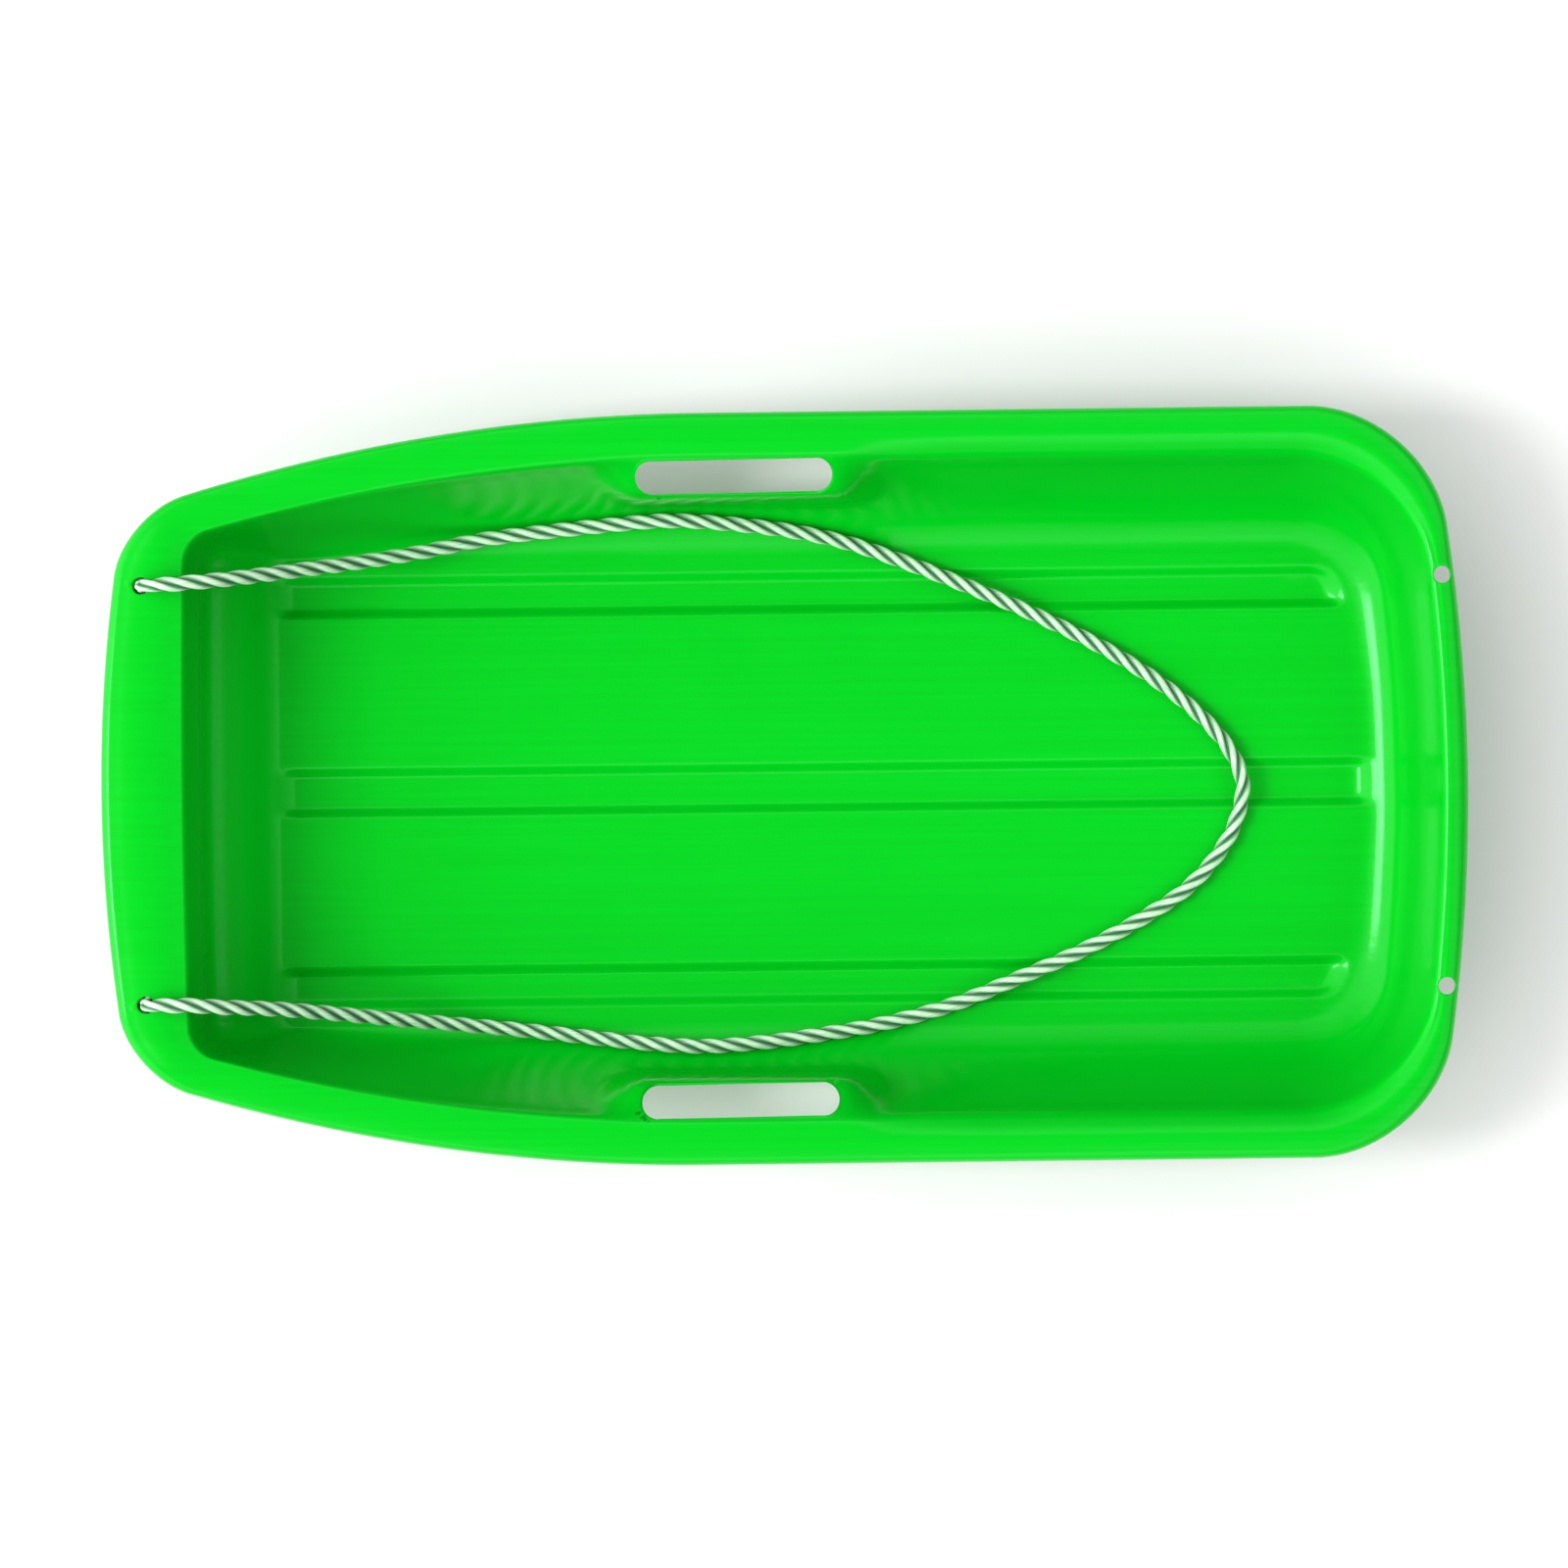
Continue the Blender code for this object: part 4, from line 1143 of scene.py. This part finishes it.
    def edge_round(self, top: Vector, low: Vector, hole: Piercing | None) -> list[Vector]:
        """Points round the cut edge of the wall.

        Args:
            top: the edge's place on the skin.
            low: its place on the underside.
            hole: the hole whose edge it is, or none at the lip.

        Returns:
            The points between the two.
        """
        away, rounding = Vector((0.0, 0.0, -1.0)), self.thickness / 2
        if hole:
            place = hole.place(top)
            away = (hole.outline(place, 0.0) - hole.outline(place, 1e-3)).normalized().to_3d()
            rounding = min(hole.rounding, self.rounding_share * (low - top).length)
        down = (low - top).normalized()
        turns = spread(0.0, math.pi / 2, self.round_steps)[1:]
        upper, lower = ([start + way * rounding * (1 - math.cos(turn))
                         + away * rounding * math.sin(turn) for turn in turns]
                        for start, way in ((top, down), (low, -down)))
        touching = (upper[-1] - lower[-1]).length < self.least_gap
        return upper + lower[::-1][1 if touching else 0:]

    def unfold(self, faces: list[bmesh.types.BMFace],
               under: dict[bmesh.types.BMVert, bmesh.types.BMVert],
               upright: bmesh.types.BMLayerItem) -> None:
        """Smooths the underside where the skin's tight corners fold it over on itself.

        Args:
            faces: the skin's faces.
            under: the vertex that lies under each of the skin's vertices.
            upright: layer that says how straight down the wall is taken at a vertex.
        """
        watched = set(faces)
        for _ in range(self.unfold_rounds):
            folded = [face for face in watched if face.normal.dot(geometry.normal(
                [under[vert].co for vert in face.verts])) < self.fold_limit]
            free = {vert for face in folded for vert in face.verts
                    if not vert.is_boundary and vert[upright] < 0.5}
            spots = {vert: sum((under[edge.other_vert(vert)].co for edge in vert.link_edges),
                               Vector()) / len(vert.link_edges) for vert in free}
            for vert, spot in spots.items():
                under[vert].co = spot
            watched = {face for vert in free for face in vert.link_faces}

    def add_marks(self, mesh: bmesh.types.BMesh) -> None:
        """Marks how worn each part is, and how far the flow lines show there.

        The runners' soles and the lip's edge are worn. The flow lines show on level parts.

        Args:
            mesh: the shell.
        """
        wear, flow = (mesh.verts.layers.float.new(name) for name in ("wear", "flow"))
        for vert in mesh.verts:
            x, y, z = vert.co
            sole = smooth((self.floor_z - z) / self.runner_depth) * max(0.0, -vert.normal.z)
            edge = self.outer.side_y(x) - abs(y)
            lip = (smooth(1.0 - edge / self.lip_wear_width)
                   if z > self.rim_height - self.lip_drop else 0.0)
            vert[wear] = min(1.0, self.sole_wear * sole + self.lip_wear * lip)
            vert[flow] = smooth((abs(vert.normal.z) - self.flow_from) / self.flow_fade)

    def build(self, finish: bpy.types.Material) -> None:
        """Makes the moulding in place of its CAD solid.

        Args:
            finish: the plastic.
        """
        mesh = self.skin()
        upright = mesh.verts.layers.float.new("upright")
        uncut = BVHTree.FromBMesh(mesh)
        mesh.edges.index_update()
        holes = self.piercings()
        for hole in holes:
            self.pierce(mesh, hole, uncut, upright)
        for vert in [vert for vert in mesh.verts if not vert.link_faces]:
            mesh.verts.remove(vert)
        self.thicken(mesh, holes, upright)
        mesh.normal_update()
        self.add_marks(mesh)
        shell = add_piece("moulded_shell", mesh, finish)
        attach(shell, Body.SLED.value)
        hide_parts("sled_body")
        LOG.info("moulded_shell: %d faces, %d holes", len(shell.data.polygons), len(holes))


# ---- the rope ----


@dataclass
class StrandedRope:
    """Rope laid in three strands, swept along a line of points."""

    diameter: float = 0.0095
    lay_length: float = 0.047
    strand_radius: float = 0.00240
    strand_offset: float = 0.00235
    strands: int = 3
    lobe_points: int = 14
    ring_step: float = 0.0013
    # Where the painted groove shade starts across each strand, and how fast it comes in.
    groove_shade_start: float = 0.25
    groove_shade_fade: float = 0.6
    seen_share: float = 0.66
    yarn_shift: float = 0.31

    def profile(self) -> list[Triple]:
        """Outline of the three strands pressed together.

        Returns:
            (angle, radius, depth in the groove) for each point of a ring.
        """
        made, half = [], math.pi / self.strands
        for point in range(self.strands * self.lobe_points):
            strand, step = divmod(point, self.lobe_points)
            t = step / self.lobe_points * 2.0 - 1.0
            radius = (self.strand_offset * math.cos(half * t) + math.sqrt(
                self.strand_radius ** 2 - (self.strand_offset * math.sin(half * t)) ** 2))
            made.append((half * t + 2 * half * strand, radius,
                         smooth((abs(t) - self.groove_shade_start) / self.groove_shade_fade)))
        return made

    def frames(self, line: list[Vector]) -> list[tuple[Vector, Vector]]:
        """Axes carried along a line without twisting.

        Args:
            line: the rope's centre line.

        Returns:
            (side, third axis) at each point.
        """
        made, side = [], Vector((0.0, 0.0, 1.0))
        for behind, ahead in zip(line[:1] + line, line[1:] + line[-1:]):
            along = (ahead - behind).normalized()
            side = (side - along * side.dot(along)).normalized()
            made.append((side, along.cross(side)))
        return made

    def sweep(self, line: list[Vector], widths: list[float],
              phase: float = 0.0) -> bmesh.types.BMesh:
        """The rope's mesh along a line, closed at both ends.

        Args:
            line: evenly spaced points of the centre line.
            widths: share of the full thickness at each point.
            phase: turn of the strands at the start.

        Returns:
            A mesh with its yarn map in metres and its groove layer, the mask of the painted
            groove shade.
        """
        made = bmesh.new()
        groove = made.verts.layers.float.new("groove")
        yarn = made.loops.layers.uv.new("yarn")
        profile = self.profile()
        count, rings, travelled = len(profile), [], []
        for behind, point, share, (side, third) in zip(line[:1] + line, line, widths,
                                                       self.frames(line)):
            travelled.append((travelled or [0.0])[-1] + (point - behind).length)
            turn = phase + 2 * math.pi * travelled[-1] / self.lay_length
            rings.append([])
            for angle, radius, depth in profile:
                out = side * math.cos(angle + turn) + third * math.sin(angle + turn)
                rings[-1].append(made.verts.new(point + out * radius * share))
                rings[-1][-1][groove] = depth
        strand_width = 2 * math.pi * self.strand_radius * self.seen_share
        lean = strand_width * self.strands / self.lay_length
        for index, (ring, following) in enumerate(zip(rings, rings[1:])):
            for place in range(count):
                after = (place + 1) % count
                face = made.faces.new((ring[place], ring[after], following[after],
                                       following[place]))
                strand, lobe = divmod(place, self.lobe_points)
                for loop, (row, column) in zip(face.loops, (
                        (index, lobe), (index, lobe + 1), (index + 1, lobe + 1),
                        (index + 1, lobe))):
                    across = column / self.lobe_points * strand_width
                    loop[yarn].uv = (travelled[row], across + travelled[row] * lean
                                     + strand * self.yarn_shift)
        for ring in (rings[0], rings[-1]):
            middle = made.verts.new(sum((vert.co for vert in ring), Vector()) / count)
            # The closed ends get half of the painted groove shade.
            middle[groove] = 0.5
            for one, other in zip(ring, ring[1:] + ring[:1]):
                made.faces.new((one, other, middle))
        bmesh.ops.recalc_face_normals(made, faces=made.faces)
        return made


@dataclass
class TowLoop:
    """The tow rope's loop, from one nose hole round the tub to the other.

    At each hole it turns down over the hinge line into its neck.
    """

    rope: StrandedRope
    length: float = 1.537
    hinge: Triple = (0.3926, 0.1280, 0.1234)
    elbow: float = 0.008
    elbow_roundness: float = 0.55
    elbow_steps: int = 16
    neck: float = 0.0002
    squeeze: float = 0.18
    taper: float = 0.014
    bend_lean: float = math.radians(25.0)
    bend_start: float = -0.001
    bend_end: float = 0.012
    route: tuple[Triple, ...] = (
        (0.3760, -0.1284, 0.1237), (0.3612, -0.1296, 0.1212), (0.3465, -0.1310, 0.1152),
        (0.3250, -0.1340, 0.1005), (0.2950, -0.1388, 0.0785), (0.2620, -0.1440, 0.0560),
        (0.2250, -0.1508, 0.0375), (0.1880, -0.1585, 0.0267), (0.1480, -0.1630, 0.0254),
        (0.1100, -0.1664, 0.0274), (0.0720, -0.1687, 0.0300), (0.0330, -0.1664, 0.0268),
        (-0.0060, -0.1616, 0.0216), (-0.0400, -0.1543, 0.0166), (-0.0780, -0.1412, 0.0142),
        (-0.1240, -0.1228, 0.0138), (-0.1670, -0.1036, 0.0138), (-0.2080, -0.0823, 0.0138),
        (-0.2440, -0.0583, 0.0138), (-0.2714, -0.0332, 0.0138), (-0.2860, -0.0100, 0.0138),
        (-0.2880, 0.0100, 0.0138), (-0.2780, 0.0370, 0.0138), (-0.2560, 0.0635, 0.0138),
        (-0.2270, 0.0835, 0.0138), (-0.1880, 0.1040, 0.0138), (-0.1430, 0.1230, 0.0138),
        (-0.1020, 0.1388, 0.0140), (-0.0600, 0.1496, 0.0150), (-0.0200, 0.1560, 0.0173),
        (0.0150, 0.1602, 0.0201), (0.0524, 0.1623, 0.0221), (0.0900, 0.1601, 0.0206),
        (0.1300, 0.1555, 0.0178), (0.1690, 0.1508, 0.0192), (0.2063, 0.1466, 0.0285),
        (0.2430, 0.1422, 0.0448), (0.2800, 0.1371, 0.0680), (0.3150, 0.1325, 0.0935),
        (0.3465, 0.1300, 0.1152), (0.3612, 0.1286, 0.1212), (0.3760, 0.1282, 0.1237))

    def corner(self, side: float) -> Vector:
        """Where the loop turns at a nose hole."""
        return Vector((self.hinge[0], side * self.hinge[1], self.hinge[2]))

    def centre_line(self) -> list[Vector]:
        """The rope's centre line, from the neck in the right hole to the left one's.

        Returns:
            Evenly spaced points.
        """
        ends = [self.corner(-1.0), self.corner(1.0)]
        line = [point for point in smooth_line(
            ends[:1] + [Vector(point) for point in self.route] + ends[1:], self.rope.ring_step)
            if min((point - corner).length for corner in ends) > self.elbow]
        turns = []
        for corner, nearest in zip(ends, (line[0], line[-1])):
            foot = corner - Vector((0.0, 0.0, self.elbow))
            low, high = (spot.lerp(corner, self.elbow_roundness) for spot in (foot, nearest))
            turns.append([foot - Vector((0.0, 0.0, self.neck))] + [
                foot * (1 - t) ** 3 + low * 3 * (1 - t) ** 2 * t
                + high * 3 * (1 - t) * t ** 2 + nearest * t ** 3
                for t in spread(0.0, 1.0, self.elbow_steps)[:-1]])
        return even_line(turns[0] + line + turns[1][::-1], self.rope.ring_step)

    def build(self, finish: bpy.types.Material, knots: list[bpy.types.Object]) -> None:
        """Makes the loop in place of its CAD solid.

        Args:
            finish: the rope's finish.
            knots: the stopper knots at its two ends. Not used.
        """
        line = self.centre_line()
        step = (line[1] - line[0]).length
        widths = [1.0 - self.squeeze * (1.0 - smooth(
            (min(index, len(line) - 1 - index) * step - self.elbow) / self.taper))
            for index in range(len(line))]
        loop = add_piece("tow_rope_loop", self.rope.sweep(line, widths), finish)
        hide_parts("tow_rope")
        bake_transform(loop)
        LOG.info("tow_rope_loop: %.3f m along its middle", line_length(line))


@dataclass
class StopperKnot:
    """An overhand knot drawn tight under the nose rim, with its fused end below it."""

    rope: StrandedRope
    top: float = 0.1166
    centre: Pair = (0.3926, 0.1280)
    neck: float = 0.0025
    start_turn: float = math.radians(200.0)
    turns: float = 1.30
    wrap_radius: float = 0.0066
    wrap_top: float = 0.0072
    wrap_drop: float = 0.0105
    wrap_lift: float = 0.003
    wrap_steps: int = 20
    wrap_blend: float = 0.16
    wrap_start: float = 0.12
    lift_share: float = 0.15
    tail_start: float = 0.006
    tail_start_lean: float = 0.4
    tail_end: float = 0.0384
    tail_lean: float = 0.0014
    ring_share: float = 0.7
    squeeze: float = 0.18
    squeezed: float = 0.002
    taper: float = 0.005
    fused: float = 0.0045
    fused_least: float = 0.05

    def centre_line(self, side: float) -> list[Vector]:
        """The rope's line: down through the rim, once and a bit round itself, and out.

        Args:
            side: 1 for the left knot and -1 for the right one.

        Returns:
            Evenly spaced points from the top down.
        """
        spots, foot = [(0.0, 0.0, 0.0), (0.0, 0.0, -self.neck)], -self.wrap_top - self.wrap_drop
        for share in spread(0.0, 1.0, self.wrap_steps):
            turn = self.start_turn + side * 2 * math.pi * self.turns * share
            out = self.wrap_radius * smooth(min(share, 1.0 - share) / self.wrap_blend
                                            + self.wrap_start)
            spots.append((out * math.cos(turn), out * math.sin(turn),
                          -self.wrap_top - self.wrap_drop * share
                          + self.wrap_lift * (1.0 - smooth(share / self.lift_share))))
        spots += [(self.tail_lean * self.tail_start_lean, 0.0, foot - self.tail_start),
                  (self.tail_lean, side * self.tail_lean, -self.tail_end)]
        place = Vector((self.centre[0], side * self.centre[1], self.top))
        return smooth_line([place + Vector(spot) for spot in spots],
                           self.rope.ring_step * self.ring_share)

    def build(self, side: float, name: str, node: str,
              finish: bpy.types.Material) -> bpy.types.Object:
        """Ties one knot in place of its CAD solid.

        Args:
            side: 1 for the left knot and -1 for the right one.
            name: the piece's name.
            node: the CAD node that it stands for.
            finish: the rope's finish.

        Returns:
            The knot's object.
        """
        line = self.centre_line(side)
        length, widths = line_length(line), []
        for at in spread(0.0, length, len(line) - 1):
            width = 1.0 - self.squeeze * (1.0 - smooth((at - self.squeezed) / self.taper))
            round_end = max(0.0, 1.0 - (length - at) / self.fused)
            widths.append(width * math.sqrt(max(self.fused_least, 1.0 - round_end ** 2)))
        knot = add_piece(name, self.rope.sweep(line, widths, side), finish)
        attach(knot, Body.SLED.value)
        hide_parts(node)
        LOG.info("%s: %.3f m of rope", name, length)
        return knot


# ---- the studio ----


@dataclass(frozen=True)
class SoftBox:
    """A plain rectangular studio light."""

    name: str
    place: Triple
    target: Triple
    size: Pair
    watts: float

    def build(self) -> None:
        """Hangs the light, facing its target."""
        lamp = bpy.data.lights.new(self.name, "AREA")
        lamp.shape, lamp.energy = "RECTANGLE", self.watts
        lamp.size, lamp.size_y = self.size
        made = add_object(self.name, lamp)
        made.location = self.place
        aim = Vector(self.target) - Vector(self.place)
        made.rotation_euler = aim.to_track_quat("-Z", "Y").to_euler()


@dataclass
class Studio:
    """A white floor, soft light, and a camera straight above the sled."""

    camera_place: Triple = (0.00117, -0.0024, 3.11)
    camera_turn: float = math.pi - math.radians(0.68)
    view_angle: float = math.radians(18.18)
    floor_size: float = 12.0
    floor_gap: float = 0.0002
    horizon: float = 0.55
    sky: float = 2.10
    sky_band: Pair = (0.18, 0.88)
    zenith_dim: float = 1.7
    zenith_band: Pair = (0.86, 0.97)
    sky_lean: Pair = (0.38, 0.34)
    nose_glow: float = 2.2
    glow_band: Pair = (0.55, 0.95)
    boxes: tuple[SoftBox, ...] = (
        SoftBox("nose_box", (2.80, 0.16, 3.20), (-0.1, 0.0, 0.0), (0.9, 1.3), 105.0),)

    def build_floor(self, finish: bpy.types.Material) -> None:
        """Lays the floor just under the runners.

        Args:
            finish: the floor's finish.
        """
        mesh = bmesh.new()
        bmesh.ops.create_grid(mesh, x_segments=1, y_segments=1, size=self.floor_size / 2)
        floor = add_piece("studio_floor", mesh, finish)
        floor.location.z = -self.floor_gap

    def build_world(self) -> None:
        """Soft light from all round, brighter at the nose and dim above, by the camera."""
        world = bpy.data.worlds.new("studio_light")
        world.use_nodes = True
        tree = world.node_tree
        ways = add_node(tree, "ShaderNodeSeparateXYZ", None, {
            "Vector": add_node(tree, "ShaderNodeTexCoord")}).node.outputs
        level, zenith, glow = (add_node(tree, "ShaderNodeMapRange", {
            "interpolation_type": "SMOOTHSTEP", "From Min": low, "From Max": high,
            "To Min": start, "To Max": end}, {"Value": ways[axis]})
            for axis, (low, high), start, end in (
                ("Z", self.sky_band, self.horizon, self.sky),
                ("Z", self.zenith_band, 0.0, -self.zenith_dim),
                ("X", self.glow_band, 0.0, self.nose_glow)))
        leans = [add_node(tree, "ShaderNodeMath", {"operation": "MULTIPLY_ADD", 1: lean, 2: 1.0},
                          {0: ways[axis]}) for axis, lean in zip("XY", self.sky_lean)]
        for kind, other in (("ADD", zenith), ("MULTIPLY", leans[0]), ("MULTIPLY", leans[1]),
                            ("ADD", glow)):
            level = add_node(tree, "ShaderNodeMath", {"operation": kind}, {0: level, 1: other})
        background = tree.nodes["Background"].inputs
        tree.links.new(level, background["Strength"])
        background["Color"].default_value = (1.0, 1.0, 1.0, 1.0)
        bpy.context.scene.world = world

    def build_camera(self) -> None:
        """Hangs the camera at the photograph's angle."""
        lens = bpy.data.cameras.new("camera")
        lens.angle = self.view_angle
        camera = add_object("camera", lens)
        camera.location = self.camera_place
        camera.rotation_euler = (0.0, 0.0, self.camera_turn)
        bpy.context.scene.camera = camera

    def build(self) -> None:
        """Sets up the floor, the light and the camera."""
        self.build_floor(PaintedBoard().build())
        self.build_world()
        for box in self.boxes:
            box.build()
        self.build_camera()
        bpy.context.scene.view_settings.view_transform = "Standard"
        LOG.info("studio: %d soft boxes", len(self.boxes))


def corners(box: tuple) -> list[list[float]]:
    """A box's two corners as plain lists of numbers."""
    return [[float(value) for value in corner] for corner in box]


def main() -> None:
    """Loads the frame and builds each part of the scene."""
    logging.basicConfig(level=logging.INFO, format="%(message)s")
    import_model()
    Studio().build()
    rope_finish = TwistedPolypropylene().build()
    rope = StrandedRope()
    knots = [StopperKnot(rope).build(side, "stopper_knot_" + name, "rope_end_" + name,
                                     rope_finish)
             for name, side in (("left", 1.0), ("right", -1.0))]
    TowLoop(rope).build(rope_finish, knots)
    Moulding().build(MouldedPolyethylene().build())


if __name__ == "__main__":
    main()
